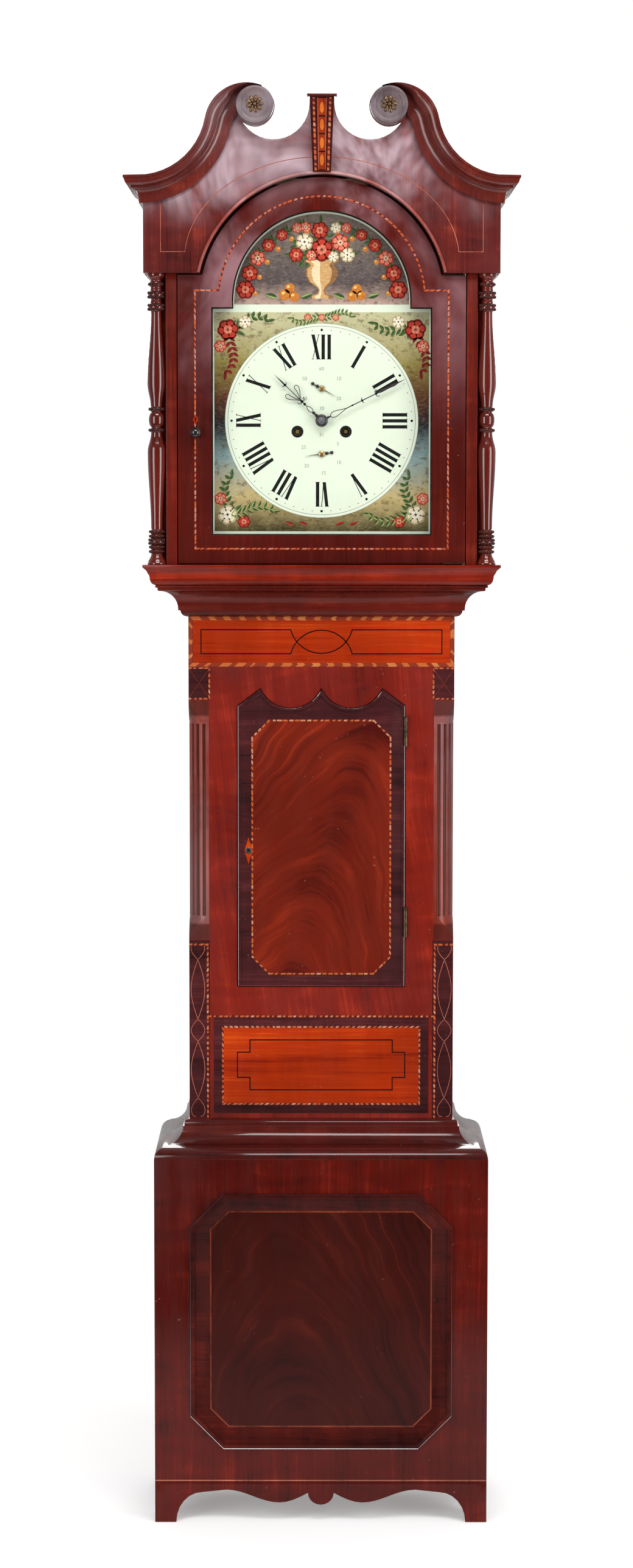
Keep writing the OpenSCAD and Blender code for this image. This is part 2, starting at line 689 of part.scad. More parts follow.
// Centres of the three curves of the outline of the pediment, on the left
block_top = scroll_z + 14;
block_half = 19;
scroll_c = [-scroll_x, scroll_z];
ring_r = scroll_r + 1.5;
crown_end = 68.8;
crown_c = scroll_c - (crown_r - ring_r) * [cos(crown_end), sin(crown_end)];
neck_cz = cornice_top + neck_r;
neck_c = [crown_c[0] - sqrt(pow(neck_r + crown_r, 2) - pow(neck_cz - crown_c[1], 2)), neck_cz];
neck_a = angle_to(neck_c, crown_c);
hollow_c = [-75, scroll_z + 5.3];
hollow_d = norm(hollow_c - scroll_c);
hollow_a = acos((hollow_d * hollow_d + ring_r * ring_r - hollow_r * hollow_r) / (2 * hollow_d * ring_r));
ring_a = angle_to(scroll_c, hollow_c) - hollow_a;
ring_end = scroll_c + ring_r * [cos(ring_a), sin(ring_a)];
hollow_a0 = 360 + angle_to(hollow_c, ring_end);
hollow_a1 = 360 - acos((-block_half - hollow_c[0]) / hollow_r);
edge_a = -acos((-hood_w / 2 - neck_c[0]) / neck_r);

pediment_left = concat(
    [[-hood_w / 2, frieze_z]],
    arc(neck_c, neck_r, edge_a, neck_a, 8),
    arc(crown_c, crown_r, neck_a + 180 - 7, crown_end, 9),
    arc(scroll_c, ring_r, crown_end - 12, ring_a, 14),
    arc(hollow_c, hollow_r, hollow_a0 + 6, hollow_a1, 14),
    [[-block_half, block_top]]);

module hood_fascia() color(mahogany) difference() {
    slab(hood_d - fascia_t, hood_d) polygon(concat(pediment_left, flipped(pediment_left)));
    translate([0, at(hood_d - fascia_t - 1), arch_z]) rotate([90, 0, 0])
        cylinder(r = frieze_arch_r, h = fascia_t + 2, $fn = 128);
    translate([pivot_x, at(pivot_d), frieze_z - 1]) cylinder(r = pivot_r + run_gap, h = pivot_len + 2);
}

module hood_roof() color(pine) difference() {
    board(-hood_side_x, hood_side_x, 0, hood_d - fascia_t, roof_z, cornice_top);
    slab(hood_door_back - 1, hood_d) translate([0, arch_z]) circle(r = frieze_arch_r, $fn = 96);
}

// Height down from the top edge against projection: lip, ovolo, bead and cove
cornice_profile = concat(
    [[0, 0], [1, 0], [1, 0.09]], arc([0.62, 0.07], 0.33, 0, 60, 4), [[0.62, 0.39], [0.62, 0.46], [0.52, 0.48]],
    [for (i = [0:5]) let (a = 90 * i / 5) [0.2 + 0.3 * (1 - sin(a)), 0.87 - 0.37 * cos(a)]],
    [[0.2, 1], [0, 1]]);

// The cornice on one side is one moulding: a return along the hood, a mitre, the hollow of the neck
// and the crown. Over the crown it narrows to slip between the outline and the rosette's disc.
neck_flat = [for (p = cornice_profile) [p[0] * cornice_out, p[1] * cornice_h]];
disc_offset = crown_r - ring_r;
function disc_reach(a) = let (side = disc_offset * sin(a - crown_end), r = scroll_r + disc_gap)
    abs(side) < r ? disc_offset * cos(a - crown_end) + sqrt(r * r - side * side) : 0;
function squeeze(a) = min(1, (crown_r - disc_reach(a)) / cornice_h);
function neck_section(c, r, sign, a, share) =
    [for (p = neck_flat) let (q = r + sign * p[1] * share) [c[0] + q * cos(a), at(hood_d + p[0]), c[1] + q * sin(a)]];
neck_steps = 11;
crown_steps = 16;
neck_sections = concat(
    [[for (p = neck_flat) [-hood_w / 2 - p[0], at(0), cornice_top - p[1]]],
        [for (p = neck_flat) [-hood_w / 2 - p[0], at(hood_d + p[0]), cornice_top - p[1]]]],
    [for (i = [1:neck_steps]) neck_section(neck_c, neck_r, 1, -90 + (neck_a + 90) * i / neck_steps, 1)],
    [for (i = [1:crown_steps]) let (a = neck_a + 180 + (crown_end - neck_a - 180) * i / crown_steps)
        neck_section(crown_c, crown_r, -1, a, squeeze(a))]);

module swan_necks() color(dark_mahogany) both_sides() {
    n = len(neck_flat);
    last = len(neck_sections) - 1;
    polyhedron(
        points = [for (s = neck_sections) each s],
        faces = concat(
            [[for (i = [0:n - 1]) i], [for (i = [n - 1:-1:0]) last * n + i]],
            [for (k = [0:last - 1]) for (i = [0:n - 1]) let (j = (i + 1) % n)
                each [[k * n + i, (k + 1) * n + i, k * n + j], [k * n + j, (k + 1) * n + i, (k + 1) * n + j]]]));
}

// A turned disc over the end of each neck, with a pressed brass flower in its middle
module scroll_rosettes() both_sides() translate([-scroll_x, at(hood_d), scroll_z]) rotate([90, 0, 0]) {
    color(dark_mahogany) rotate_extrude() polygon(concat(
        [[0, 0], [scroll_r, 0], [scroll_r, disc_out - 3]], arc([scroll_r - 3, disc_out - 3], 3, 0, 90, 4),
        [[scroll_r - 7, disc_out - 1], [scroll_r - 9, disc_out], [0, disc_out]]));
    color(brass) translate([0, 0, disc_out]) {
        rotate_extrude() polygon([[0, 0], [11, 0], [11, 0.8], [4, 2.2], [3, 3.6], [0, flower_t]]);
        for (k = [0:7]) rotate(45 * k) translate([8, 0, 0]) cylinder(r = 2.6, h = 1.8);
    }
}

// A tapered block inlaid with satinwood, standing between the hollows, with a thin cap
module pediment_block() color(satinwood) {
    foot_half = 14;
    block_z = arch_z + frieze_arch_r + 2;
    slab(hood_d, hood_d + 9)
        polygon([[-foot_half, block_z], [foot_half, block_z], [block_half, block_top], [-block_half, block_top]]);
    color(dark_mahogany) board(-block_half - 4, block_half + 4, hood_d - fascia_t - 2, hood_d + 13, block_top,
        block_top + 4);
}

// A turned column: beaded capital, two long swells round a ball, beads and a flared foot
column_profile = let (r = column_r, h = column_h) concat(
    [[0, 0], [r + 0.8, 0], [r + 0.8, 3]], blend(r, 9, 3, 16, 5),
    bead(8.5, 2.5, 17, 24), bead(8.5, 2.5, 24, 31), bead(8.5, 3.6, 31, 41), bead(8.5, 2.5, 41, 48),
    bead(8.5, 2.5, 48, 55),
    blend(9, r, 57, 0.387 * h, 9), blend(r, 8.5, 0.39 * h, 0.455 * h, 6),
    bead(8.5, 2.6, 0.456 * h, 0.472 * h), bead(8, 4, 0.475 * h, 0.525 * h, 8),
    bead(8.5, 2.6, 0.528 * h, 0.544 * h),
    blend(9, r, 0.547 * h, 0.624 * h, 6), blend(r, 8, 0.63 * h, h - 60, 9),
    bead(8.5, 3.8, h - 58, h - 46), blend(9, 8, h - 45, h - 40, 3), bead(8.5, 3.8, h - 39, h - 27),
    blend(9, 8.5, h - 26, h - 22, 3), bead(8.5, 2.5, h - 21, h - 12), blend(8.5, 14, h - 11, h - 3, 5),
    [[14, h], [0, h]]);

module hood_columns() color(dark_mahogany) both_sides()
    translate([column_x, at(column_d), hood_z]) rotate_extrude() polygon(column_profile);

// The board behind the door that frames the dial
module dial_mask() color(dark_mahogany) slab(mask_front - mask_t, mask_front) difference() {
    translate([-stile_in, hood_z]) square([2 * stile_in, roof_z - hood_z]);
    arched(sight_w / 2 + 2, sight_z - 2, sight_shoulder_z + 2, sight_arch_r + 2);
}

// Hood door

hood_door_z = hood_z + door_foot_gap;
hood_door_top = frieze_z - door_foot_gap;
knob_x = -hood_door_w / 2 + 27.5;
knob_z = dial_z - 19;
knob_stem = 2.5;

module hood_door_frame() color(mahogany) difference() {
    slab(hood_door_back, hood_door_front)
        arched(hood_door_w / 2, hood_door_z, hood_door_top, frieze_arch_r - arch_gap);
    slab(hood_door_back - 1, hood_door_front + 1)
        arched(sight_w / 2, sight_z, sight_shoulder_z, sight_arch_r);
    slab(hood_door_back - 1, hood_door_front - 8)
        arched(sight_w / 2 + rebate, sight_z - rebate, sight_shoulder_z + rebate, sight_arch_r + rebate);
    translate([knob_x, at(hood_door_front + 1), knob_z]) rotate([-90, 0, 0])
        cylinder(r = knob_stem + run_gap, h = 13);
    for (z = [hood_door_z - 1, hood_door_top - 1.5])
        board(pivot_x - 34, pivot_x + 5, hood_door_front - 15, hood_door_front + 1, z, z + 2.5);
}

module hood_door_glass() color([0.8, 0.86, 0.86, 0.3])
    slab(hood_door_front - 8 - glass_t, hood_door_front - 8)
        arched(sight_w / 2 + rebate - 0.5, sight_z - rebate + 0.5, sight_shoulder_z + rebate - 0.5,
            sight_arch_r + rebate - 0.5);

module hood_door_knob() color([0.05, 0.05, 0.05])
    translate([knob_x, at(hood_door_front), knob_z]) rotate([90, 0, 0]) rotate_extrude()
        polygon(concat([[0, -11], [knob_stem, -11], [knob_stem, 0], [5, 0], [5, 1.5], [3.4, 3]],
            arc([0, 11], 8.6, -66, 90, 12)));

// Cranked brass plates let into the top and bottom of the door, each with its pin
module hood_door_pivots() color(brass) {
    plate = 1.9;
    for (end = [0, 1]) {
        z = end == 0 ? hood_door_z - 0.4 : hood_door_top - 1.4;
        board(pivot_x - 33, pivot_x, hood_door_front - 14.5, pivot_d + 3.2, z, z + plate);
        translate([pivot_x, at(pivot_d), z]) cylinder(r = 3.2, h = plate);
        translate([pivot_x, at(pivot_d), end == 0 ? hood_z - pivot_len : z])
            cylinder(r = pivot_r, h = (end == 0 ? z - hood_z : frieze_z - z) + pivot_len);
    }
}

// Trunk door

module trunk_door_panel() color(flame_mahogany) difference() {
    union() {
        slab(door_back, trunk_d) door_body(0);
        slab(lip_back + rest_gap, door_front - 2) door_shape(0);
        slab(door_front - 2, door_front) difference() {
            door_shape(-0.8);
            door_shape(-5);
        }
    }
    for (z = hinge_heights) {
        translate([hinge_x, at(hinge_d), z - 0.5]) cylinder(r = knuckle_r + 0.5, h = hinge_h + 1);
        board(hinge_x - door_gap - leaf_t, hinge_x, trunk_d - leaf_w, door_front + 1, z, z + hinge_h);
    }
    board(-door_w / 2 - 1, -door_w / 2 + lock_w, door_back - 1, door_back + lock_t, lock_z - lock_h / 2,
        lock_z + lock_h / 2);
    translate([lock_x, at(door_front + 1), lock_z + 3]) rotate([-90, 0, 0]) cylinder(r = 2, h = door_t);
    board(lock_x - 0.9, lock_x + 0.9, door_back + lock_t - 1, door_front + 1, lock_z - 6, lock_z + 3);
}

module trunk_door_lock() color(brass) difference() {
    board(-door_w / 2, -door_w / 2 + lock_w, door_back, door_back + lock_t, lock_z - lock_h / 2,
        lock_z + lock_h / 2);
    board(-door_w / 2 - 1, -door_w / 2 + lock_w - 5, door_back + 3 - rest_gap, door_back + 3 + bolt_t + rest_gap,
        lock_z - bolt_h / 2 - rest_gap, lock_z + bolt_h / 2 + rest_gap);
    translate([lock_x, at(door_back + lock_t + 1), lock_z + 3]) rotate([-90, 0, 0]) cylinder(r = 2, h = 6);
}

module trunk_door_hinges() color(brass) for (z = hinge_heights) difference() {
    third = hinge_h / 3;
    union() {
        board(hinge_x - door_gap - leaf_t, hinge_x - door_gap, trunk_d - leaf_w, trunk_d - 0.2, z, z + hinge_h);
        board(hinge_x - door_gap - leaf_t, hinge_x - door_gap, trunk_d - 1, hinge_d, z + third + 0.2,
            z + 2 * third - 0.2);
        translate([hinge_x, at(hinge_d), z + third + 0.2]) cylinder(r = knuckle_r, h = third - 0.4);
    }
    translate([hinge_x, at(hinge_d), z - 1]) cylinder(r = hinge_pin_r + run_gap, h = hinge_h + 2);
}

module lock_bolt() color(steel)
    board(-door_w / 2 + 0.5, -door_w / 2 + lock_w - 6, door_back + 3, door_back + 3 + bolt_t,
        lock_z - bolt_h / 2, lock_z + bolt_h / 2);

// Wheels

// Pointed teeth on straight flanks, one tooth centred at angle phase
function teeth(n, m, width, add, ded, phase) = let (r = n * m / 2, half = width * m / r / 2 * 180 / PI)
    [for (k = [0:n - 1]) for (q = [[-half, r - ded * m], [-half, r], [0, r + add * m], [half, r], [half, r - ded * m]])
        let (a = phase + k * 360 / n + q[0]) [q[1] * cos(a), q[1] * sin(a)]];

module wheel_face(n, m, phase, rim_w, spokes = 4) difference() {
    rim = n * m / 2 - 1.6 * m - rim_w;
    polygon(teeth(n, m, 1.35, 1.2, 1.6, phase));
    if (rim > 10) difference() {
        circle(r = rim);
        circle(r = 5.5);
        for (k = [0:spokes - 1]) rotate(360 * k / spokes) translate([0, -1.4]) square([rim + 1, 2.8]);
    }
}

// A wheel of thickness t from u0, and a pinion with a gap between leaves at angle phase
module wheel(n, m, u0, t, phase, rim_w = 2.2) {
    translate([0, 0, u0]) linear_extrude(t) wheel_face(n, m, phase, rim_w);
}

module pinion(n, m, u0, u1, phase) {
    translate([0, 0, u0]) linear_extrude(u1 - u0) polygon(teeth(n, m, 1.1, 0.75, 1.75, phase + 180 / n));
}

module hub(u0, u1) rod(4.5, u0, u1);

great_t = 3;
great_u = 12;

module centre_wheel() color(brass) on_arbor(centre_pos) {
    wheel(centre_n, centre_m, 1.6, 2, angle_to(centre_pos, third_pos));
    hub(0.6, 6);
    rod(pivot_hole, -plate_t, 1);
    rod(1.8, 1, plate_gap - 0.4);
    pinion(centre_pinion_n, great_m, great_u - 4, great_u + great_t + 4, angle_to(centre_pos, great_pos));
    rod(3, plate_gap - 0.5, motion_u + 1);
    // The cannon wheel and its pipe, which carries the minute hand through the dial
    wheel(cannon_n, cannon_m, motion_u, 2, angle_to(centre_pos, minute_pos));
    rod(3, motion_u, dial_u + 11);
    rod(1.6, dial_u + 11, dial_u + 13.5);
}

module hour_wheel() color(brass) on_arbor(centre_pos) difference() {
    union() {
        wheel(hour_n, hour_m, motion_u + 5, 2, angle_to(centre_pos, minute_pos));
        rod(5, motion_u + 4, dial_u + 5.5);
        rod(4.2, dial_u + 5.5, dial_u + 7.5);
    }
    rod(3 + run_gap, motion_u + 3, dial_u + 9);
}

module minute_wheel() color(brass) on_arbor(minute_pos) {
    wheel(cannon_n, cannon_m, motion_u, 2, angle_to(minute_pos, centre_pos) + 180 / cannon_n);
    pinion(minute_pinion_n, hour_m, motion_u, motion_u + 9, angle_to(minute_pos, centre_pos));
    rod(pivot_hole, plate_gap, motion_u);
}

module third_wheel() color(brass) on_arbor(third_pos) {
    wheel(third_n, third_m, 27, 2, angle_to(third_pos, escape_pos));
    hub(25, 31);
    rod(1.6, 0.3, plate_gap - 0.3);
    rod(pivot_hole, -plate_t, plate_gap + plate_t);
    pinion(third_pinion_n, centre_m, 0.8, 7, angle_to(third_pos, centre_pos));
}

// Thirty slender teeth that lean forward, as on a recoil escape wheel
module escape_wheel() color(brass) on_arbor(escape_pos) {
    root = escape_r - 4.5;
    translate([0, 0, 37]) linear_extrude(1.6) difference() {
        polygon([for (k = [0:escape_n - 1]) for (q = [[-1, root], [3.6, escape_r], [4.3, escape_r], [5.5, root]])
            let (a = -k * 12 - q[0]) [q[1] * cos(a), q[1] * sin(a)]]);
        difference() {
            circle(r = root - 2);
            circle(r = 5);
            for (k = [0:3]) rotate(90 * k) translate([0, -1]) square([root, 2]);
        }
    }
    hub(34, 41);
    rod(pivot_hole, -plate_t, 25);
    pinion(escape_pinion_n, third_m, 24.5, 32, angle_to(escape_pos, third_pos));
    rod(2, 32, dial_u + 1.6);
    rod(1, dial_u + 1.6, dial_u + 4);
}

// The anchor's two pallets stop just short of the wheel. Its arbor ends in the crutch
module anchor() color(steel) {
    reach = escape_r + pallet_gap;
    drop = anchor_pos[1] - escape_pos[1];
    on_arbor(anchor_pos) {
        translate([0, 0, 36]) linear_extrude(3.6) difference() {
            polygon(concat(
                [[0, 6]], [[-reach * 0.9, -drop * 0.30], [-reach * 0.86, -drop + reach * 0.72]],
                [for (i = [0:8]) let (a = 135 - 90 * i / 8) [reach * cos(a), reach * sin(a) - drop]],
                [[reach * 0.86, -drop + reach * 0.72], [reach * 0.9, -drop * 0.30]]));
            circle(r = 1.5);
        }
        hub(34, 42);
        rod(2, crutch_u - 2, plate_gap - 0.3);
        rod(pivot_hole, cock_u, plate_gap + plate_t);
    }
    // Crutch: an arm down behind the back plate and a fork round the pendulum rod
    board(-2.5, 2.5, movement_d + crutch_u - 1.5, movement_d + crutch_u + 1.5, crutch_z, anchor_pos[1] + 4);
    difference() {
        board(-7, 7, pendulum_d - 7, movement_d + crutch_u + 1.5, crutch_z - 3, crutch_z);
        board(-rod_r - rest_gap, rod_r + rest_gap, pendulum_d - 8, pendulum_d + rod_r + rest_gap,
            crutch_z - 4, crutch_z + 1);
    }
}

module pendulum_rod() color(steel) {
    top = anchor_pos[1] - 12;
    translate([0, at(pendulum_d), bob_z - bob_r - 22]) cylinder(r = rod_r, h = top - bob_z + bob_r + 22);
    color(brass) {
        translate([0, at(pendulum_d), bob_z - bob_r - 9]) cylinder(r = 8, h = 7);
        translate([-4, at(pendulum_d) - 3, top - 6]) cube([8, 6, 10]);
    }
    translate([-spring_t / 2, at(pendulum_d) - spring_w / 2, top]) cube([spring_t, spring_w, 21]);
}

module pendulum_bob() color(brass) difference() {
    translate([0, at(pendulum_d), bob_z]) rotate([90, 0, 0]) rotate_extrude() polygon(concat(
        [[0, -bob_t / 2]], [for (i = [6:-1:0]) [bob_r * cos(90 * i / 6), -1.5 - (bob_t / 2 - 1.5) * sin(90 * i / 6)]],
        [for (i = [0:6]) [bob_r * cos(90 * i / 6), 1.5 + (bob_t / 2 - 1.5) * sin(90 * i / 6)]], [[0, bob_t / 2]]));
    translate([0, at(pendulum_d), bob_z - bob_r - 1]) cylinder(r = rod_r + run_gap, h = 2 * bob_r + 2);
}

// Hands

// A hand drawn pointing along +Y in its own plane, turned clockwise from twelve
module hand(pos, u, t, turn) {
    on_arbor(pos) rotate([0, 0, -turn]) translate([0, 0, u]) linear_extrude(t) children();
}

module pierced_loop(y, rx, ry) {
    translate([0, y]) difference() {
        scale([rx, ry]) circle(r = 1, $fn = 32);
        scale([rx - 1.3, ry - 1.3]) circle(r = 1, $fn = 32);
    }
}

module hand_shape(len, boss, bore) difference() {
    union() {
        circle(r = boss);
        translate([-1.1, boss - 1]) square([2.2, 0.36 * len - boss - 2]);
        for (s = [-1, 1]) translate([s * 3.4, 0.36 * len]) difference() {
            circle(r = 5);
            circle(r = 3.4);
        }
        translate([0, 0.42 * len]) difference() {
            circle(r = 5.4);
            circle(r = 3.8);
        }
        polygon([[-1.3, 0.45 * len], [1.3, 0.45 * len], [0.9, 0.78 * len], [0, len], [-0.9, 0.78 * len]]);
        polygon([[0, 0.6 * len], [2.8, 0.66 * len], [0, 0.73 * len], [-2.8, 0.66 * len]]);
    }
    circle(r = bore);
}

module minute_hand() color(blue_steel) hand(centre_pos, dial_u + 11, 1, 63.7) hand_shape(minute_len, 6.5, 1.6);

module hour_hand() color(blue_steel) hand(centre_pos, dial_u + 5.5, 1.2, 314) hand_shape(hour_len, 8, 4.2);

module seconds_hand() color(blue_steel) hand(escape_pos, dial_u + 1.6, 0.8, 119) difference() {
    union() {
        circle(r = 2.8);
        polygon([[-0.8, 0], [0.8, 0], [0, 27]]);
        for (y = [-8, -16]) translate([0, y]) circle(r = 2.6);
        translate([-0.7, -16]) square([1.4, 16]);
    }
    circle(r = 1);
}

// A hand on a short arbor, with the toothed wheel that is moved on behind the dial
module date_hand() color(blue_steel) {
    hand(date_pos, dial_u + 1.6, 0.8, 262) union() {
        circle(r = 2.8);
        polygon([[-0.8, 0], [0.8, 0], [0, 27]]);
        for (y = [-8, -16]) translate([0, y]) circle(r = 2.6);
        translate([-0.7, -16]) square([1.4, 16]);
    }
    on_arbor(date_pos) {
        rod(2.6 - run_gap, dial_u - dial_t - 4, dial_u + 1.6);
        color(brass) translate([0, 0, dial_u - dial_t - 3]) linear_extrude(1.5)
            polygon(teeth(62, 0.7, 1.2, 1, 1, 0));
    }
}

// Great wheels, and the barrel, pulley, weight and line that both trains have alike

module great_wheel(pos, n, m, phase) on_arbor(pos) difference() {
    union() {
        wheel(n, m, great_u, great_t, phase);
        rod(8, great_u, great_u + great_t);
    }
    rod(3 + run_gap, great_u - 1, great_u + great_t + 1);
}

// A drum grooved for the line, on an arbor that ends in a winding square in front of the plate
module barrel() on_arbor(great_pos) {
    grooves = 14;
    run = barrel_u[1] - barrel_u[0] - 6;
    rotate_extrude() polygon(concat(
        [[0, barrel_u[0]], [barrel_r + 2.5, barrel_u[0]], [barrel_r + 2.5, barrel_u[0] + 2]],
        [for (k = [0:grooves - 1]) for (q = [[0, 0], [0, 0.25], [-0.6, 0.6], [0, 0.95]])
            [barrel_r + q[0], barrel_u[0] + 3 + run * (k + q[1]) / grooves]],
        [[barrel_r, barrel_u[1] - 3], [barrel_r + 2.5, barrel_u[1] - 2], [barrel_r + 2.5, barrel_u[1]], [0, barrel_u[1]]]));
    rod(3, -plate_t, plate_gap + plate_t);
    square_w = 5;
    translate([-square_w / 2, -square_w / 2, plate_gap + plate_t]) cube([square_w, square_w, dial_u - plate_gap - plate_t - 0.5]);
}

module pulley() translate([pulley_x, at(movement_d + line_u), pulley_z]) rotate([90, 0, 0])
    difference() {
        rotate_extrude() polygon([[0, -pulley_w / 2], [pulley_r, -pulley_w / 2], [pulley_r, -pulley_w / 2 + 1],
            [pulley_groove, -line_r - 0.4], [pulley_groove, line_r + 0.4], [pulley_r, pulley_w / 2 - 1],
            [pulley_r, pulley_w / 2], [0, pulley_w / 2]]);
        translate([0, 0, -pulley_w]) cylinder(r = 2 + run_gap, h = 2 * pulley_w);
    }

// A cylinder with a hooked eye, hung from the stirrup that holds the pulley's axle
module weight() translate([pulley_x, at(movement_d + line_u), 0]) {
    gap = pulley_w / 2 + rest_gap;
    for (s = [-1, 1]) translate([-5, s * (gap + stirrup_t / 2) - stirrup_t / 2, pulley_z - stirrup_drop])
        cube([10, stirrup_t, stirrup_drop + 6]);
    translate([-5, -gap - stirrup_t, pulley_z - stirrup_drop - 2]) cube([10, 2 * (gap + stirrup_t), 2.5]);
    translate([0, gap + stirrup_t, pulley_z]) rotate([90, 0, 0]) cylinder(r = 2, h = 2 * (gap + stirrup_t));
    translate([0, 0, weight_top]) cylinder(r = 2, h = 13);
    translate([0, 0, weight_top - weight_len]) rotate_extrude() polygon(concat(
        [[0, 0]], arc([weight_r - 4, 4], 4, -90, 0, 4), arc([weight_r - 8, weight_len - 8], 8, 0, 90, 5),
        [[4, weight_len], [4, weight_len + 4], [0, weight_len + 4]]));
}

// The gut line: down from the barrel, under the pulley and up to its knot on the seatboard
module line() translate([0, at(movement_d + line_u), 0]) {
    translate([line_x, 0, pulley_z]) cylinder(r = line_r, h = great_pos[1] - pulley_z, $fn = 16);
    translate([line_x + 2 * line_turn, 0, pulley_z]) cylinder(r = line_r, h = seat_top - pulley_z + 1, $fn = 16);
    translate([pulley_x, 0, pulley_z]) rotate([90, 0, 0]) rotate([0, 0, 180])
        rotate_extrude(angle = 180) translate([line_turn, 0]) circle(r = line_r, $fn = 16);
    translate([line_x + 2 * line_turn, 0, seat_top + 1]) cylinder(r = 2.5, h = 3);
}

module striking_side() translate([-2 * winding_x, 0, 0]) children();

module going_great_wheel() color(brass)
    great_wheel(great_pos, great_n, great_m, angle_to(great_pos, centre_pos));
module going_barrel() color(brass) barrel();
module going_weight() color(iron) weight();
module going_pulley() color(brass) pulley();
module going_line() color(gut) line();
module strike_great_wheel() color(brass)
    great_wheel(strike_pos, strike_n, strike_m, angle_to(strike_pos, pin_pos));
module strike_barrel() color(brass) striking_side() barrel();
module strike_weight() color(iron) striking_side() weight();
module strike_pulley() color(brass) striking_side() pulley();
module strike_line() color(gut) striking_side() line();

// The wheel whose eight pins lift the hammer
module pin_wheel() color(brass) on_arbor(pin_pos) {
    wheel(pin_n, pin_m, 8, 2, angle_to(pin_pos, gathering_pos), pin_rim);
    for (k = [0:7]) rotate(45 * k) translate([pin_circle, 0, 4.4]) cylinder(r = 1, h = 4);
    hub(6, 10.5);
    rod(1.8, 0.3, plate_gap - 0.3);
    rod(pivot_hole, -plate_t, plate_gap + plate_t);
    pinion(pin_pinion_n, strike_m, great_u - 1.5, great_u + great_t + 3, angle_to(pin_pos, strike_pos));
}

module gathering_wheel() color(brass) on_arbor(gathering_pos) {
    wheel(gathering_n, gathering_m, 33, 1.6, angle_to(gathering_pos, warning_pos));
    hub(31, 36);
    rod(1.6, 0.3, plate_gap - 0.3);
    rod(pivot_hole, -plate_t, plate_gap + plate_t);
    pinion(gathering_pinion_n, pin_m, 6, 12, angle_to(gathering_pos, pin_pos));
}

module warning_wheel() color(brass) on_arbor(warning_pos) {
    wheel(warning_n, warning_m, 43, 1.6, angle_to(warning_pos, fly_pos));
    rod(pivot_hole, -plate_t, 32);
    rod(pivot_hole, 36, plate_gap + plate_t);
    pinion(warning_pinion_n, gathering_m, 31, 37, angle_to(warning_pos, gathering_pos));
}

// Two flat vanes that brake the striking against the air
module fly() color(brass) on_arbor(fly_pos) {
    translate([-11, -0.5, 12]) cube([22, 1, 17]);
    rod(2, 11, 30);
    rod(pivot_hole, -plate_t, 41);
    rod(pivot_hole, 46, plate_gap + plate_t);
    pinion(fly_pinion_n, warning_m, 40, 47, angle_to(fly_pos, warning_pos));
}

// The hammer stands beside the bell's rim, and its tail reaches towards the pins
module hammer() color(steel) {
    head_z = bell_z + 4;
    head_x = bell_x - bell_r - hammer_gap;
    on_arbor(hammer_pos) {
        rod(1.8, 0.3, plate_gap - 0.3);
        rod(pivot_hole, -plate_t, plate_gap + plate_t);
        translate([0, 0, bell_u - 2]) linear_extrude(4) {
            circle(r = 4);
            polygon([[-2, 0], [2, 0], [head_x - 9 - hammer_pos[0] + 1.5, head_z - hammer_pos[1]],
                [head_x - 9 - hammer_pos[0] - 1.5, head_z - hammer_pos[1]]]);
        }
        tail = beside([0, 0], 5.4, angle_to(hammer_pos, pin_pos));
        translate([0, 0, 4.6]) linear_extrude(2) polygon([[-2, -2], [2, 2], tail + [0.8, 0.8], tail - [0.8, 0.8]]);
    }
    translate([head_x - 16, at(movement_d + bell_u), head_z]) rotate([0, 90, 0]) cylinder(r = hammer_r, h = 16);
}

backboard();
base_sides();
base_front();
base_panel();
bracket_feet();
base_moulding();
trunk_sides();
trunk_front();
quarter_columns();
throat_moulding();
seatboard();
trunk_hinge_leaves();
movement_frame();
back_cock();
bell();
dial_plate();
hood_base();
hood_sides();
hood_fascia();
hood_roof();
swan_necks();
scroll_rosettes();
pediment_block();
hood_columns();
dial_mask();
hood_door_frame();
hood_door_glass();
hood_door_knob();
hood_door_pivots();
trunk_door_panel();
trunk_door_lock();
trunk_door_hinges();
lock_bolt();
pendulum_rod();
pendulum_bob();
anchor();
centre_wheel();
minute_hand();
hour_wheel();
hour_hand();
minute_wheel();
date_hand();
third_wheel();
escape_wheel();
seconds_hand();
going_great_wheel();
going_barrel();
going_weight();
going_pulley();
going_line();
strike_great_wheel();
strike_barrel();
strike_weight();
strike_pulley();
strike_line();
pin_wheel();
gathering_wheel();
warning_wheel();
fly();
hammer();
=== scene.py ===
"""Dresses the longcase clock: finishes for every solid, inlay, painted dial, mouldings and light."""

import json
import math

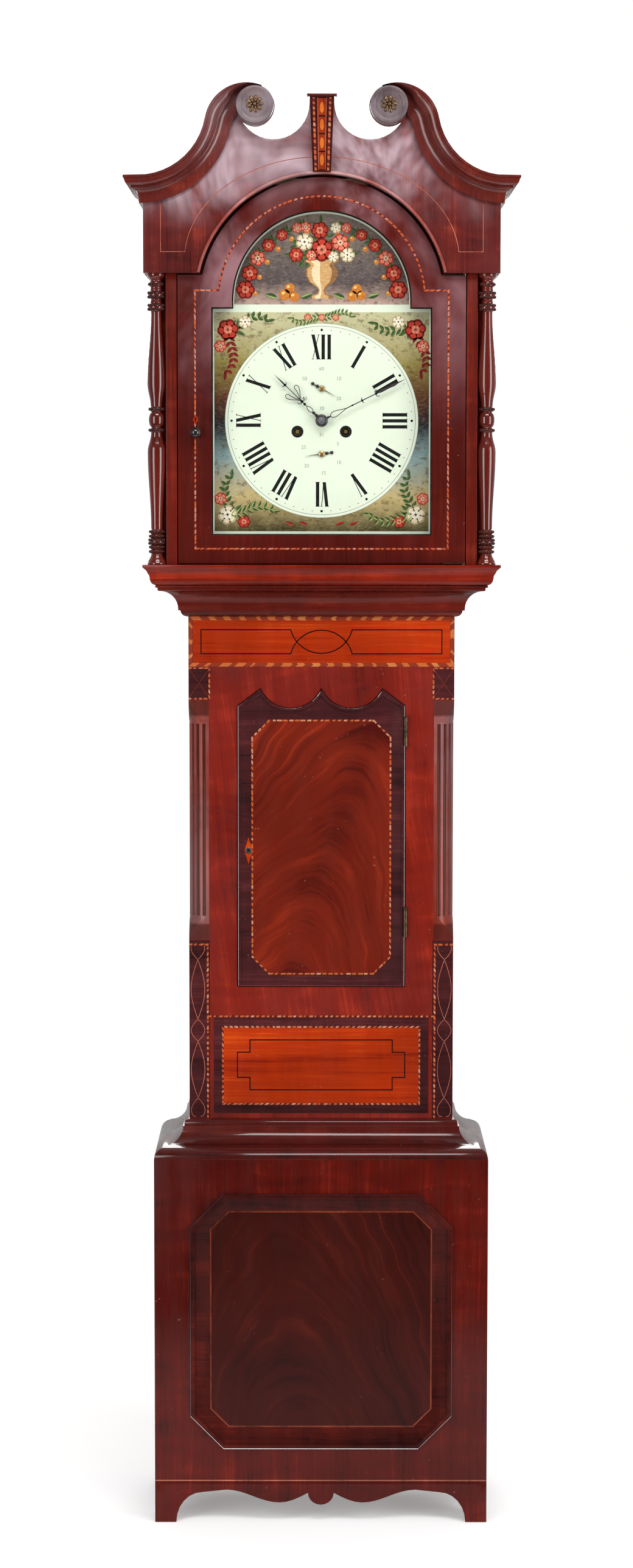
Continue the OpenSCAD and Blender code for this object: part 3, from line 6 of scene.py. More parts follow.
import bpy
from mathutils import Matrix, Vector

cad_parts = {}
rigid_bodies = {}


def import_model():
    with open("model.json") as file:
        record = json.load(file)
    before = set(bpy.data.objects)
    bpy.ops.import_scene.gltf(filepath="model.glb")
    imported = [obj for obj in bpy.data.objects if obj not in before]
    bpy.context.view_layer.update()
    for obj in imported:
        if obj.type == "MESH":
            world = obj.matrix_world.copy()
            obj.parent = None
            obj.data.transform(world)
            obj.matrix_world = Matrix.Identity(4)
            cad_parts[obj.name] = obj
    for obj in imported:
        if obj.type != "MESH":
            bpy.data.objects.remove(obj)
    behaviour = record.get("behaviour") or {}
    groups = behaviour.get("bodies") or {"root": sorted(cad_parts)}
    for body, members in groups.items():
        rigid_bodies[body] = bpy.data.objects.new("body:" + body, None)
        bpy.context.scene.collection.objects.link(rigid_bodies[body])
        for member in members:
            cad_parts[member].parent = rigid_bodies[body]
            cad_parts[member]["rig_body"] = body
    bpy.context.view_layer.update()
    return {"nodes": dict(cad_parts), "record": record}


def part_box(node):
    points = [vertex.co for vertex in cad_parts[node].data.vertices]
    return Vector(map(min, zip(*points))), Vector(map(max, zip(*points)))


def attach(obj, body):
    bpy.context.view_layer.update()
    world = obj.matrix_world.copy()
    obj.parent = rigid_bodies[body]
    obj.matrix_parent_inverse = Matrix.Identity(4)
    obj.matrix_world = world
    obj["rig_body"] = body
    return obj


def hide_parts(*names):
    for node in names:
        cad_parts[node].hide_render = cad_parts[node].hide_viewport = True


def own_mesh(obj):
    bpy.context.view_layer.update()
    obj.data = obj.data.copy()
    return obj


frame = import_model()
solids = frame["nodes"]

MM = 0.001
VENEER = 0.25  # how far inlay stands proud of the wood round it, in mm
MERGE = 0.00001  # corners nearer to each other than this, in metres, become one
HANDS = {"left": -1, "right": 1}

# In mm: how far the fields of the base panel and the trunk door lie behind their solids' fronts, and how far
# the pediment's block stands before the fascia
PANEL_SUNK, FIELD_SUNK, BLOCK_PROUD = 4, 2, 9

# Fronts of the case, as y in metres
BASE_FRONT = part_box("base_front")[0].y
BASE_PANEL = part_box("base_panel")[0].y + PANEL_SUNK * MM
TRUNK_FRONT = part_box("trunk_front")[0].y
DOOR_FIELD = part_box("trunk_door_panel")[0].y + FIELD_SUNK * MM
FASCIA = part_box("hood_fascia")[0].y
HOOD_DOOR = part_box("hood_door_frame")[0].y
BLOCK = FASCIA - BLOCK_PROUD * MM
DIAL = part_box("dial_plate")[0].y

# Heights and widths, in mm
TRUNK_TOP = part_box("trunk_front")[1].z / MM
HOOD_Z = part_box("hood_columns")[0].z / MM
FRIEZE_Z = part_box("hood_columns")[1].z / MM
ARCH_Z = FRIEZE_Z - 42
SCROLL_X = 103.5
SCROLL_Z = FRIEZE_Z + 255
DIAL_Z = HOOD_Z + 225
WINDING_X = 38


# Shader nodes

def feed(tree, node, inputs):
    """Links each socket among the inputs to a node, and sets every other value on it."""
    for key, value in inputs.items():
        if isinstance(value, bpy.types.NodeSocket):
            tree.links.new(value, node.inputs[key])
        else:
            node.inputs[key].default_value = value


def add(tree, kind, inputs=None, **settings):
    """Adds a node with its settings to a tree, and feeds it."""
    node = tree.nodes.new("ShaderNode" + kind)
    for key, value in settings.items():
        setattr(node, key, value)
    feed(tree, node, inputs or {})
    return node


def rgb(colour):
    """A colour with full alpha, as a colour socket wants it."""
    return (*colour[:3], 1.0)


def maths(tree, operation, a, b=0.0, clamp=False):
    return add(tree, "Math", {0: a, 1: b}, operation=operation, use_clamp=clamp).outputs[0]


def plus(tree, a, b, clamp=False):
    return maths(tree, "ADD", a, b, clamp)


def less(tree, a, b):
    return maths(tree, "SUBTRACT", a, b)


def times(tree, a, b):
    return maths(tree, "MULTIPLY", a, b)


def swung(tree, value, by, amount):
    """A value moved up and down by a noise that runs from 0 to 1."""
    return plus(tree, value, times(tree, less(tree, by, 0.5), amount))


def blend(tree, share, a, b):
    """Mixes two colours by a share."""
    a, b = [value if isinstance(value, bpy.types.NodeSocket) else rgb(value) for value in (a, b)]
    return add(tree, "Mix", {0: share, 6: a, 7: b}, data_type="RGBA").outputs[2]


def spread(tree, value, low, high, to_low=0.0, to_high=1.0):
    """Stretches the part of a value between low and high, with soft ends."""
    return add(tree, "MapRange", {"Value": value, "From Min": low, "From Max": high, "To Min": to_low,
                                  "To Max": to_high}, interpolation_type="SMOOTHSTEP").outputs[0]


def noise(tree, vector, size, detail=3.0, rough=0.55, bent=0.0):
    """Noise whose lumps are about one over size metres wide, from 0 to 1."""
    return add(tree, "TexNoise", {"Vector": vector, "Scale": size, "Detail": detail, "Roughness": rough,
                                  "Distortion": bent}).outputs[0]


def stretched(tree, vector, scale):
    return add(tree, "Mapping", {"Vector": vector, "Scale": scale}).outputs[0]


def streaks(tree, vector, scale, detail=3.0, rough=0.55, bent=0.0):
    """Noise with a size of its own along each axis."""
    return noise(tree, stretched(tree, vector, scale), 1.0, detail, rough, bent)


def on_object(tree):
    """Where a point lies on the object, in metres."""
    return add(tree, "TexCoord").outputs["Object"]


def split(tree, vector):
    """The three numbers of a vector."""
    return add(tree, "SeparateXYZ", {0: vector}).outputs


def bumped(tree, height, strength, distance):
    """The normal of a surface that a height roughens, its distance in metres."""
    return add(tree, "Bump", {"Height": height, "Strength": strength, "Distance": distance}).outputs[0]


def group(name, inputs, outputs):
    """A shader node group with named sockets. Returns its tree, its input sockets and its output node."""
    tree = bpy.data.node_groups.new(name, "ShaderNodeTree")
    kinds = {float: "NodeSocketFloat", 3: "NodeSocketVector", 4: "NodeSocketColor"}
    for key, value in inputs.items():
        kind = float if isinstance(value, float) else len(value)
        socket = tree.interface.new_socket(key, in_out="INPUT", socket_type=kinds[kind])
        socket.default_value = value
    for key, kind in outputs.items():
        tree.interface.new_socket(key, in_out="OUTPUT", socket_type=kinds[kind])
    return tree, tree.nodes.new("NodeGroupInput").outputs, tree.nodes.new("NodeGroupOutput")


def place(tree, shared, inputs):
    """Places a shared group in a tree with its own values."""
    return add(tree, "Group", inputs, node_tree=shared).outputs


TONES = {"Light": (1, 1, 1, 1), "Middle": (0.5, 0.5, 0.5, 1), "Dark": (0, 0, 0, 1)}


def three_tones(tree, tone, given):
    """A wood's dark, middle and light along a tone from 0 to 1."""
    lower = blend(tree, spread(tree, tone, 0.0, 0.5), given["Dark"], given["Middle"])
    return blend(tree, spread(tree, tone, 0.5, 1.0), lower, given["Light"])


def wood_group():
    """Straight or swaying grain along z: broad ribbons, fine fibres, dark pores and cross mottle."""
    tree, given, out = group(
        "wood grain",
        {"Vector": (0, 0, 0), "Sway": 0.02, "Ribbon": 0.5, "Mottle": 0.3, "Pores": 0.4, **TONES},
        {"Color": 4, "Height": float})
    drift = add(tree, "TexNoise", {"Vector": stretched(tree, given["Vector"], (1, 1, 0.45)), "Scale": 5.0,
                                   "Detail": 2.0}).outputs["Color"]
    drift = add(tree, "VectorMath", {0: drift, 1: (0.5, 0.5, 0.5)}, operation="SUBTRACT").outputs[0]
    drift = add(tree, "VectorMath", {0: drift, "Scale": given["Sway"]}, operation="SCALE").outputs[0]
    path = add(tree, "VectorMath", {0: given["Vector"], 1: drift}, operation="ADD").outputs[0]
    ribbon = streaks(tree, path, (34, 34, 1.1), 4.0, 0.62)
    fibre = streaks(tree, path, (380, 380, 7), 3.0, 0.6)
    mottle = streaks(tree, path, (10, 10, 30), 3.0, 0.5, 0.8)
    pore = streaks(tree, path, (1100, 1100, 26), 1.0)
    tone = times(tree, less(tree, ribbon, 0.5), given["Ribbon"])
    tone = swung(tree, swung(tree, tone, mottle, given["Mottle"]), fibre, 0.35)
    tone = plus(tree, times(tree, tone, 2.4), 0.5, True)
    hole = times(tree, spread(tree, pore, 0.60, 0.72), given["Pores"])
    feed(tree, out, {"Color": blend(tree, hole, three_tones(tree, tone, given), given["Dark"]),
                     "Height": less(tree, times(tree, fibre, 0.4), hole)})
    return tree


def flame_group():
    """Crotch figure: plumes that rise from a dark, wandering spine and fan out to both sides."""
    tree, given, out = group(
        "flame figure",
        {"Vector": (0, 0, 0), "Reach": 0.1, "Plume": 1.0, "Contrast": 1.0, "Spine": 0.2, **TONES},
        {"Color": 4, "Height": float})
    across, deep, along = split(tree, given["Vector"])
    wander = noise(tree, stretched(tree, given["Vector"], (0, 0, 1)), 5.5, 2.0)
    side = swung(tree, across, wander, 0.09)
    away = maths(tree, "SQRT", plus(tree, times(tree, side, side), 0.0004))
    bend = noise(tree, given["Vector"], 9.0, 3.0, 0.5)
    curl = times(tree, away, plus(tree, times(tree, away, 9.0), 0.35))
    rise = less(tree, along, times(tree, curl, given["Plume"]))
    rise = plus(tree, rise, times(tree, bend, 0.07))

    def fanned(up, out_from_spine):
        return add(tree, "CombineXYZ", {0: times(tree, rise, up), 1: times(tree, away, out_from_spine),
                                        2: deep}).outputs[0]

    plume = noise(tree, fanned(24.0, 7.0), 1.0, 4.0, 0.58, 0.5)
    fibre = noise(tree, fanned(190.0, 40.0), 1.0, 3.0, 0.6)
    cloud = noise(tree, given["Vector"], 7.0, 2.0)
    spine = times(tree, spread(tree, maths(tree, "ABSOLUTE", side), 0.0, given["Reach"], 1.0, 0.0),
                  given["Spine"])
    tone = swung(tree, swung(tree, less(tree, plume, 0.5), fibre, 0.22), cloud, 0.5)
    tone = times(tree, less(tree, tone, spine), given["Contrast"])
    tone = plus(tree, times(tree, tone, 2.2), 0.52, True)
    feed(tree, out, {"Color": three_tones(tree, tone, given), "Height": fibre})
    return tree


def polish_group():
    """Old French polish: milky clouds, partly the polish's own blush and partly painted sheen; darker
    hand-rubbed patches; a few pale nicks.
    """
    tree, given, out = group(
        "old polish",
        {"Color": (0.5, 0.5, 0.5, 1), "Vector": (0, 0, 0), "BloomAndSheen": 0.0, "HazeAndSheen": (0.3, 0.2, 0.22, 1),
         "Nicks": 0.2},
        {"Color": 4, "Roughness": float})
    cloud = noise(tree, stretched(tree, given["Vector"], (1, 1, 0.7)), 6.0, 4.0, 0.6, 0.6)
    # Milky clouds over the colour: the polish's blush, and painted sheen where their amount follows height
    haze_and_sheen_share = times(tree, spread(tree, cloud, 0.36, 0.66), given["BloomAndSheen"])
    patch = noise(tree, given["Vector"], 3.3, 2.0)
    worn = blend(tree, spread(tree, patch, 0.40, 0.66, 0.0, 0.28), given["Color"], (0, 0, 0))
    speck = noise(tree, given["Vector"], 240.0, 0.0)
    rare = noise(tree, given["Vector"], 31.0, 0.0)
    nick = times(tree, spread(tree, speck, 0.80, 0.84), spread(tree, rare, 0.62, 0.70))
    nick = times(tree, nick, given["Nicks"])
    smear = streaks(tree, given["Vector"], (40, 40, 9))
    feed(tree, out, {"Color": blend(tree, nick, blend(tree, haze_and_sheen_share, worn, given["HazeAndSheen"]), (0.40, 0.22, 0.16)),
                     "Roughness": plus(tree, spread(tree, smear, 0.3, 0.75, 0.20, 0.38),
                                       times(tree, haze_and_sheen_share, 0.25))})
    return tree


def metal_group():
    """Old metal: fine turning marks, brown tarnish in clouds, and a roughness that follows both."""
    tree, given, out = group(
        "old metal",
        {"Vector": (0, 0, 0), "Bright": (0.8, 0.6, 0.3, 1), "Tarnish": (0.2, 0.12, 0.05, 1), "Amount": 0.5,
         "Smooth": 0.22},
        {"Color": 4, "Roughness": float, "Height": float})
    cloud = noise(tree, given["Vector"], 45.0, 4.0, 0.62)
    stain = times(tree, spread(tree, cloud, 0.38, 0.68), given["Amount"])
    feed(tree, out, {"Color": blend(tree, stain, given["Bright"], given["Tarnish"]),
                     "Roughness": plus(tree, times(tree, stain, 0.35), given["Smooth"]),
                     "Height": streaks(tree, given["Vector"], (1500, 1500, 60), 2.0)})
    return tree


def dash_group():
    """Barber-pole stringing: slanted pale and dark pieces of uneven length along u, in metres."""
    tree, given, out = group(
        "barber pole",
        {"UV": (0, 0, 0), "Pitch": 0.008, "Share": 0.5, "Slant": 0.001, "Light": (1, 1, 1, 1),
         "Pale": (1, 1, 1, 1), "Dark": (0, 0, 0, 1)},
        {"Color": 4})
    run = split(tree, given["UV"])
    along = plus(tree, run[0], times(tree, run[1], given["Slant"]))
    step = maths(tree, "DIVIDE", along, given["Pitch"])
    count = maths(tree, "FLOOR", step)

    def lot(number):
        return add(tree, "TexWhiteNoise", {"W": number}, noise_dimensions="1D").outputs[0]

    length = swung(tree, given["Share"], lot(count), 0.5)
    lit = add(tree, "MapRange", {"Value": less(tree, length, maths(tree, "FRACT", step)), "From Min": -0.03,
                                 "From Max": 0.03}).outputs[0]
    hue = lot(plus(tree, count, 71.3))
    wood = blend(tree, spread(tree, hue, 0.45, 0.9), given["Light"], given["Pale"])
    feed(tree, out, {"Color": blend(tree, lit, given["Dark"], wood)})
    return tree


WOOD, FLAME, POLISH, METAL, DASHES = wood_group(), flame_group(), polish_group(), metal_group(), dash_group()

# Default colour of the milky clouds: the polish's blush, and painted sheen
HAZE_AND_SHEEN = (0.34, 0.235, 0.25)
# How the grain lies: the object's axes in the order across, deep, along
LAY = {"up": (0, 1, 2), "across": (2, 1, 0)}


def finish(name):
    """A new material, its tree and its Principled shader."""
    material = bpy.data.materials.new(name)
    material.use_nodes = True
    tree = material.node_tree
    return material, tree, tree.nodes["Principled BSDF"]


def grain_vector(tree, lay, shift, turn):
    """Object coordinates laid so that the grain runs along z."""
    centred = add(tree, "Mapping", {"Vector": on_object(tree), "Location": shift,
                                    "Rotation": (0, turn, 0)}).outputs[0]
    axes = split(tree, centred)
    return add(tree, "CombineXYZ", {i: axes[a] for i, a in enumerate(LAY[lay])}).outputs[0]


def polished_wood(name, light, middle, dark, lay="up", sway=0.02, ribbon=0.8, mottle=0.5, pores=0.45,
                  bloom_and_sheen=0.0, haze_and_sheen=HAZE_AND_SHEEN, specular=0.12, nicks=0.2, figure=None, shift=(0, 0, 0), turn=0.0,
                  rough=0.0, coat=0.12, coat_ior=1.5, coat_rough=0.07, groove_shade=None, ends=None, relief=0.12):
    """Polished timber. A figure, given as (reach, plume, contrast, spine), makes it flame veneer. Milky
    clouds given as (low, high, from, to) change with height in mm, and are then painted sheen, paler higher
    up. Shade in grooves, given as (x, y, deep, flush) in metres, is painted on what lies between those
    distances from an upright axis. Shade at the ends, given as (low, high, reach) in metres, is painted on
    the two ends of an upright piece."""
    material, tree, shader = finish(name)
    here = on_object(tree)
    at = split(tree, here)
    # Milky clouds that follow height are painted sheen, paler higher up where the light from above falls
    if isinstance(bloom_and_sheen, tuple):
        bloom_and_sheen = spread(tree, at[2], bloom_and_sheen[0] * MM, bloom_and_sheen[1] * MM, bloom_and_sheen[2], bloom_and_sheen[3])
    vector = grain_vector(tree, lay, shift, turn)
    colours = {"Light": rgb(light), "Middle": rgb(middle), "Dark": rgb(dark)}
    if figure:
        reach, plume, contrast, spine = figure
        made = place(tree, FLAME, {"Vector": vector, "Reach": reach, "Plume": plume, "Contrast": contrast,
                                   "Spine": spine, **colours})
    else:
        made = place(tree, WOOD, {"Vector": vector, "Sway": sway, "Ribbon": ribbon, "Mottle": mottle,
                                  "Pores": pores, **colours})
    rubbed = place(tree, POLISH, {"Color": made["Color"], "Vector": here, "BloomAndSheen": bloom_and_sheen,
                                  "HazeAndSheen": rgb(haze_and_sheen), "Nicks": nicks})
    colour = rubbed["Color"]
    # Painted shade: darker in the grooves between the reeds
    if groove_shade:
        axis_x, axis_y, deep, flush = groove_shade
        off_x = less(tree, maths(tree, "ABSOLUTE", at[0]), axis_x)
        off_y = less(tree, at[1], axis_y)
        away = maths(tree, "SQRT", plus(tree, times(tree, off_x, off_x), times(tree, off_y, off_y)))
        colour = blend(tree, spread(tree, away, deep, flush, 0.9, 0.0), colour, dark)
    # Painted shade: darker at both ends, where the chamfer stops lie in shadow
    if ends:
        low, high, reach = ends
        near = maths(tree, "MINIMUM", less(tree, at[2], low), less(tree, high, at[2]))
        colour = blend(tree, spread(tree, near, reach * 0.8, reach, 0.8, 0.0), colour, dark)
    feed(tree, shader, {"Base Color": colour, "Roughness": plus(tree, rubbed["Roughness"], rough),
                        "Specular IOR Level": specular, "Coat Weight": coat, "Coat Roughness": coat_rough,
                        "Coat IOR": coat_ior, "Normal": bumped(tree, made["Height"], relief, 0.0002)})
    return material


def old_metal(name, bright, tarnish, amount=0.5, smooth=0.22):
    """Metal that has dulled: a polished colour with tarnish over an amount of it."""
    material, tree, shader = finish(name)
    made = place(tree, METAL, {"Vector": on_object(tree), "Bright": rgb(bright), "Tarnish": rgb(tarnish),
                               "Amount": amount, "Smooth": smooth})
    feed(tree, shader, {"Base Color": made["Color"], "Roughness": made["Roughness"], "Metallic": 1.0,
                        "Normal": bumped(tree, made["Height"], 0.08, 0.0001)})
    return material


def barber_pole(name, pitch, share, light, pale, dark):
    """Stringing whose pieces follow the strip's own map: u runs along it in metres and v across it."""
    material, tree, shader = finish(name)
    made = place(tree, DASHES, {"UV": add(tree, "UVMap", uv_map="run").outputs[0], "Pitch": pitch,
                                "Share": share, "Light": rgb(light), "Pale": rgb(pale), "Dark": rgb(dark)})
    fibre = streaks(tree, on_object(tree), (600, 600, 600), 2.0)
    colour = blend(tree, spread(tree, fibre, 0.35, 0.75, 0.0, 0.35), made["Color"], dark)
    feed(tree, shader, {"Base Color": colour, "Roughness": spread(tree, fibre, 0.2, 0.8, 0.28, 0.42),
                        "Specular IOR Level": 0.3, "Coat Weight": 0.3, "Coat Roughness": 0.1})
    return material


def paint(name, colour, shade, size=60.0, rough=0.45):
    """Brushed oil paint in one colour, with thin and thick strokes."""
    material, tree, shader = finish(name)
    stroke_mark = streaks(tree, on_object(tree), (size, size, size * 2.2), 4.0, 0.65, 0.6)
    feed(tree, shader, {"Base Color": blend(tree, spread(tree, stroke_mark, 0.35, 0.7), colour, shade),
                        "Roughness": spread(tree, stroke_mark, 0.2, 0.8, rough - 0.08, rough + 0.08),
                        "Specular IOR Level": 0.15,
                        "Normal": bumped(tree, stroke_mark, 0.15, 0.0001)})
    return material


# Timber
trunk_veneer = polished_wood("trunk veneer", (0.31, 0.023, 0.010), (0.19, 0.0125, 0.0065),
                             (0.10, 0.008, 0.0055), ribbon=0.6, mottle=0.4, sway=0.05, pores=0.25, turn=0.12,
                             bloom_and_sheen=0.1, haze_and_sheen=(0.2, 0.05, 0.05))
side_mahogany = polished_wood("side mahogany", (0.23, 0.022, 0.010), (0.13, 0.011, 0.006),
                              (0.05, 0.006, 0.004), ribbon=1.0, mottle=0.35)
throat_wood = polished_wood("throat mahogany", (0.24, 0.022, 0.010), (0.13, 0.011, 0.006),
                            (0.05, 0.006, 0.004), lay="across", mottle=0.25, coat=0.28, specular=0.08,
                            coat_rough=0.12, relief=0.05)
moulding_wood = polished_wood("moulding mahogany", (0.15, 0.016, 0.009), (0.085, 0.008, 0.006),
                              (0.035, 0.005, 0.004), lay="across", mottle=0.25, coat=0.7, specular=0.1,
                              coat_ior=1.6)
hood_base_wood = polished_wood("hood base mahogany", (0.36, 0.026, 0.008), (0.20, 0.013, 0.005),
                               (0.07, 0.006, 0.003), lay="across", mottle=0.25, coat=0.28, specular=0.06,
                               coat_rough=0.12, relief=0.05)
# The milky clouds from 2120 to 2240 mm are a faint painted sheen, paler on the upper necks
neck_wood = polished_wood("swan neck mahogany", (0.22, 0.026, 0.014), (0.11, 0.012, 0.008),
                          (0.04, 0.006, 0.005), mottle=0.3, coat=0.8, specular=0.12,
                          bloom_and_sheen=(2120, 2240, 0.0, 0.25), coat_ior=1.6, coat_rough=0.2, relief=0.03,
                          ribbon=0.4)
base_veneer = polished_wood("base veneer", (0.17, 0.0105, 0.0045), (0.088, 0.0055, 0.003),
                            (0.036, 0.0035, 0.0025), ribbon=0.5, mottle=0.35)
door_flame = polished_wood("door flame veneer", (0.29, 0.026, 0.009), (0.165, 0.0138, 0.0056),
                           (0.072, 0.0062, 0.004), figure=(0.05, -1.0, 0.85, 0.12), shift=(0.301, 0, -1.013),
                           turn=-0.3)
base_flame = polished_wood("base flame veneer", (0.080, 0.0095, 0.0055), (0.040, 0.0055, 0.004),
                           (0.020, 0.004, 0.0035), figure=(0.06, -1.0, 0.7, 0.08), shift=(0.015, 0.3, -0.3),
                           turn=0.12, coat=0.05, specular=0.08)
crossband = polished_wood("dark crossbanding", (0.10, 0.020, 0.022), (0.056, 0.012, 0.0135),
                          (0.022, 0.006, 0.007), lay="across", ribbon=0.8, mottle=0.2)
base_band = polished_wood("brown crossbanding", (0.09, 0.010, 0.007), (0.05, 0.007, 0.0055),
                          (0.02, 0.004, 0.004), lay="across", coat=0.04, specular=0.06)
# The grey-mauve clouds that grow from 2045 to 2150 mm are painted sheen: the fascia is paler higher up, where
# the light from above falls
fascia_wood = polished_wood("mahogany with painted sheen", (0.24, 0.032, 0.022), (0.11, 0.015, 0.013),
                            (0.05, 0.009, 0.009), ribbon=0.7, mottle=0.5, bloom_and_sheen=(2045, 2150, 0.0, 1.3),
                            haze_and_sheen=(0.52, 0.385, 0.43), coat=0.3, shift=(0.4, 0, 0))
# The milky clouds that grow from 1720 to 2110 mm are painted sheen, paler towards the top of the door
hood_door_wood = polished_wood("hood door mahogany", (0.14, 0.013, 0.007), (0.085, 0.007, 0.0045),
                               (0.04, 0.005, 0.003), bloom_and_sheen=(1720, 2110, 0.0, 1.1), haze_and_sheen=(0.31, 0.155, 0.175),
                               coat=0.25, mottle=0.2, ribbon=0.5, sway=0.04)
column_wood = polished_wood("column mahogany", (0.22, 0.020, 0.009), (0.12, 0.010, 0.005),
                            (0.05, 0.005, 0.003), coat=1.0, specular=0.1, coat_ior=1.6, coat_rough=0.09,
                            relief=0.02, mottle=0.15, ribbon=0.4)
carved_beads = polished_wood("carved beads", (0.08, 0.018, 0.012), (0.045, 0.010, 0.008),
                             (0.02, 0.005, 0.005), coat=0.45, specular=0.08, coat_rough=0.28, relief=0.0)
quarter_low, quarter_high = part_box("quarter_columns")
QUARTER_MIDDLE = 32 * MM  # from the columns' outer side and front to their axes
# The reeds' grooves and the columns' two ends are darkened as painted shade
reeded_wood = polished_wood("reeded mahogany", (0.34, 0.045, 0.020), (0.185, 0.025, 0.014),
                            (0.06, 0.009, 0.006), coat=0.3, specular=0.1, ribbon=1.0, mottle=0.1, bloom_and_sheen=0.3,
                            groove_shade=(quarter_high.x - QUARTER_MIDDLE, quarter_low.y + QUARTER_MIDDLE, 0.0297,
                                     0.0317), ends=(quarter_low.z, quarter_high.z, 0.028))
bead_wood = polished_wood("polished bead", (0.11, 0.02, 0.015), (0.07, 0.012, 0.010), (0.03, 0.006, 0.006),
                          coat=1.0, specular=0.1, coat_ior=2.5, coat_rough=0.12, nicks=0.0, relief=0.0)
# The arch bead's pale pink, stronger towards the top of the arch, is a painted highlight
highlight_edge = polished_wood("painted highlight edge", (0.42, 0.09, 0.06), (0.30, 0.05, 0.035), (0.16, 0.025, 0.02), coat=0.6,
                          bloom_and_sheen=(2030, 2140, 0.1, 1.2), haze_and_sheen=(0.74, 0.50, 0.50), nicks=0.0)
# A near-black strip round the glass: part glazing compound, part painted shadow in the gap before the dial
putty_and_shadow = polished_wood("old putty", (0.05, 0.03, 0.025), (0.02, 0.014, 0.012), (0.008, 0.006, 0.006), coat=0.0,
                      mottle=1.0, rough=0.4)
satinwood = polished_wood("satinwood", (0.58, 0.065, 0.005), (0.40, 0.028, 0.0025), (0.21, 0.010, 0.002),
                          lay="across", ribbon=0.75, mottle=0.15, sway=0.012, pores=0.2)
block_satin = polished_wood("dull satinwood", (0.34, 0.045, 0.006), (0.24, 0.024, 0.005),
                            (0.12, 0.010, 0.004), nicks=0.0)
lozenge_satin = polished_wood("light satinwood", (0.66, 0.19, 0.025), (0.55, 0.13, 0.015), (0.36, 0.06, 0.01),
                              coat=0.2, specular=0.2, nicks=0.0, pores=0.1)
# A grey cloud covers most of the disc's face
scroll_wood = polished_wood("grey clouded disc", (0.17, 0.115, 0.12), (0.12, 0.085, 0.092), (0.07, 0.05, 0.055),
                            bloom_and_sheen=0.9, haze_and_sheen=(0.26, 0.21, 0.23), coat=0.2, specular=0.1)
pine_board, pine_flat = [polished_wood(name, (0.62, 0.44, 0.26), (0.47, 0.31, 0.17), (0.25, 0.15, 0.08), lay,
                                       coat=0.0, specular=0.2, rough=0.35, ribbon=0.9, mottle=0.1, nicks=0.1)
                         for name, lay in (("pine", "up"), ("flat pine", "across"))]
ebony = polished_wood("ebonised knob", (0.03, 0.022, 0.02), (0.015, 0.012, 0.011), (0.006, 0.005, 0.005),
                      coat=0.8, specular=0.5)
box_string = polished_wood("boxwood line", (0.52, 0.17, 0.10), (0.40, 0.12, 0.075), (0.2, 0.05, 0.035),
                           nicks=0.0)
rose_string = polished_wood("rosewood line", (0.24, 0.045, 0.016), (0.16, 0.028, 0.012), (0.06, 0.01, 0.006),
                            nicks=0.0)
black_string = polished_wood("black line", (0.04, 0.008, 0.006), (0.02, 0.005, 0.005), (0.01, 0.003, 0.003),
                             nicks=0.0)
door_string = barber_pole("door barber pole", 0.0095, 0.62, (0.50, 0.11, 0.025), (0.56, 0.26, 0.14),
                          (0.13, 0.011, 0.007))
frieze_string = barber_pole("frieze barber pole", 0.024, 0.42, (0.48, 0.12, 0.028), (0.54, 0.18, 0.05),
                            (0.22, 0.026, 0.008))
fine_string = barber_pole("fine barber pole", 0.0085, 0.55, (0.46, 0.10, 0.03), (0.56, 0.24, 0.13),
                          (0.10, 0.009, 0.007))
hood_string = barber_pole("hood barber pole", 0.0088, 0.66, (0.50, 0.085, 0.02), (0.52, 0.20, 0.13),
                          (0.13, 0.012, 0.008))

# Metal
brass = old_metal("old brass", (0.62, 0.43, 0.17), (0.16, 0.09, 0.035), 0.55)
dark_brass = old_metal("hinge brass", (0.15, 0.10, 0.065), (0.03, 0.02, 0.018), 0.85, 0.3)
flower_metal = old_metal("dulled gilding", (0.25, 0.155, 0.09), (0.07, 0.045, 0.035), 0.75, 0.38)
steel = old_metal("steel", (0.50, 0.50, 0.52), (0.20, 0.17, 0.15), 0.4)
blued = old_metal("blued steel", (0.10, 0.09, 0.095), (0.03, 0.025, 0.022), 0.6, 0.35)
iron = old_metal("black iron", (0.09, 0.09, 0.09), (0.035, 0.028, 0.022), 0.7, 0.5)


# Gut, glass and enamel

def gut_finish():
    """Twisted gut line, darker in the hollows of its twist as painted shade."""
    material, tree, shader = finish("twisted gut")
    twist = add(tree, "TexWave", {"Vector": on_object(tree), "Scale": 150.0, "Distortion": 0.6},
                bands_direction="DIAGONAL").outputs[1]
    feed(tree, shader, {"Base Color": blend(tree, twist, (0.28, 0.17, 0.07), (0.6, 0.43, 0.22)),
                        "Roughness": 0.5, "Normal": bumped(tree, twist, 0.5, 0.0003)})
    return material


def glass_finish():
    """Old crown glass, faintly wavy."""
    material, tree, shader = finish("crown glass")
    feed(tree, shader, {"Base Color": (0.95, 0.97, 0.95, 1), "Roughness": 0.02, "Transmission Weight": 1.0,
                        "Alpha": 0.1, "Specular IOR Level": 0.3,
                        "Normal": bumped(tree, noise(tree, on_object(tree), 11.0, 1.0), 0.05, 0.001)})
    return material


def dial_finish():
    """Cream dial enamel with a slight craze and yellowed clouds."""
    material, tree, shader = finish("dial enamel")
    vector = on_object(tree)
    cloud = noise(tree, vector, 14.0, 4.0, 0.6)
    craze = add(tree, "TexVoronoi", {"Vector": vector, "Scale": 70.0}, feature="DISTANCE_TO_EDGE").outputs[0]
    body = blend(tree, spread(tree, cloud, 0.35, 0.75, 0.0, 0.6), (0.69, 0.765, 0.62), (0.63, 0.705, 0.55))
    line = spread(tree, craze, 0.0, 0.02, 0.10, 0.0)
    feed(tree, shader, {"Base Color": blend(tree, line, body, (0.55, 0.55, 0.42)),
                        "Roughness": spread(tree, cloud, 0.2, 0.8, 0.28, 0.4), "Specular IOR Level": 0.15})
    return material


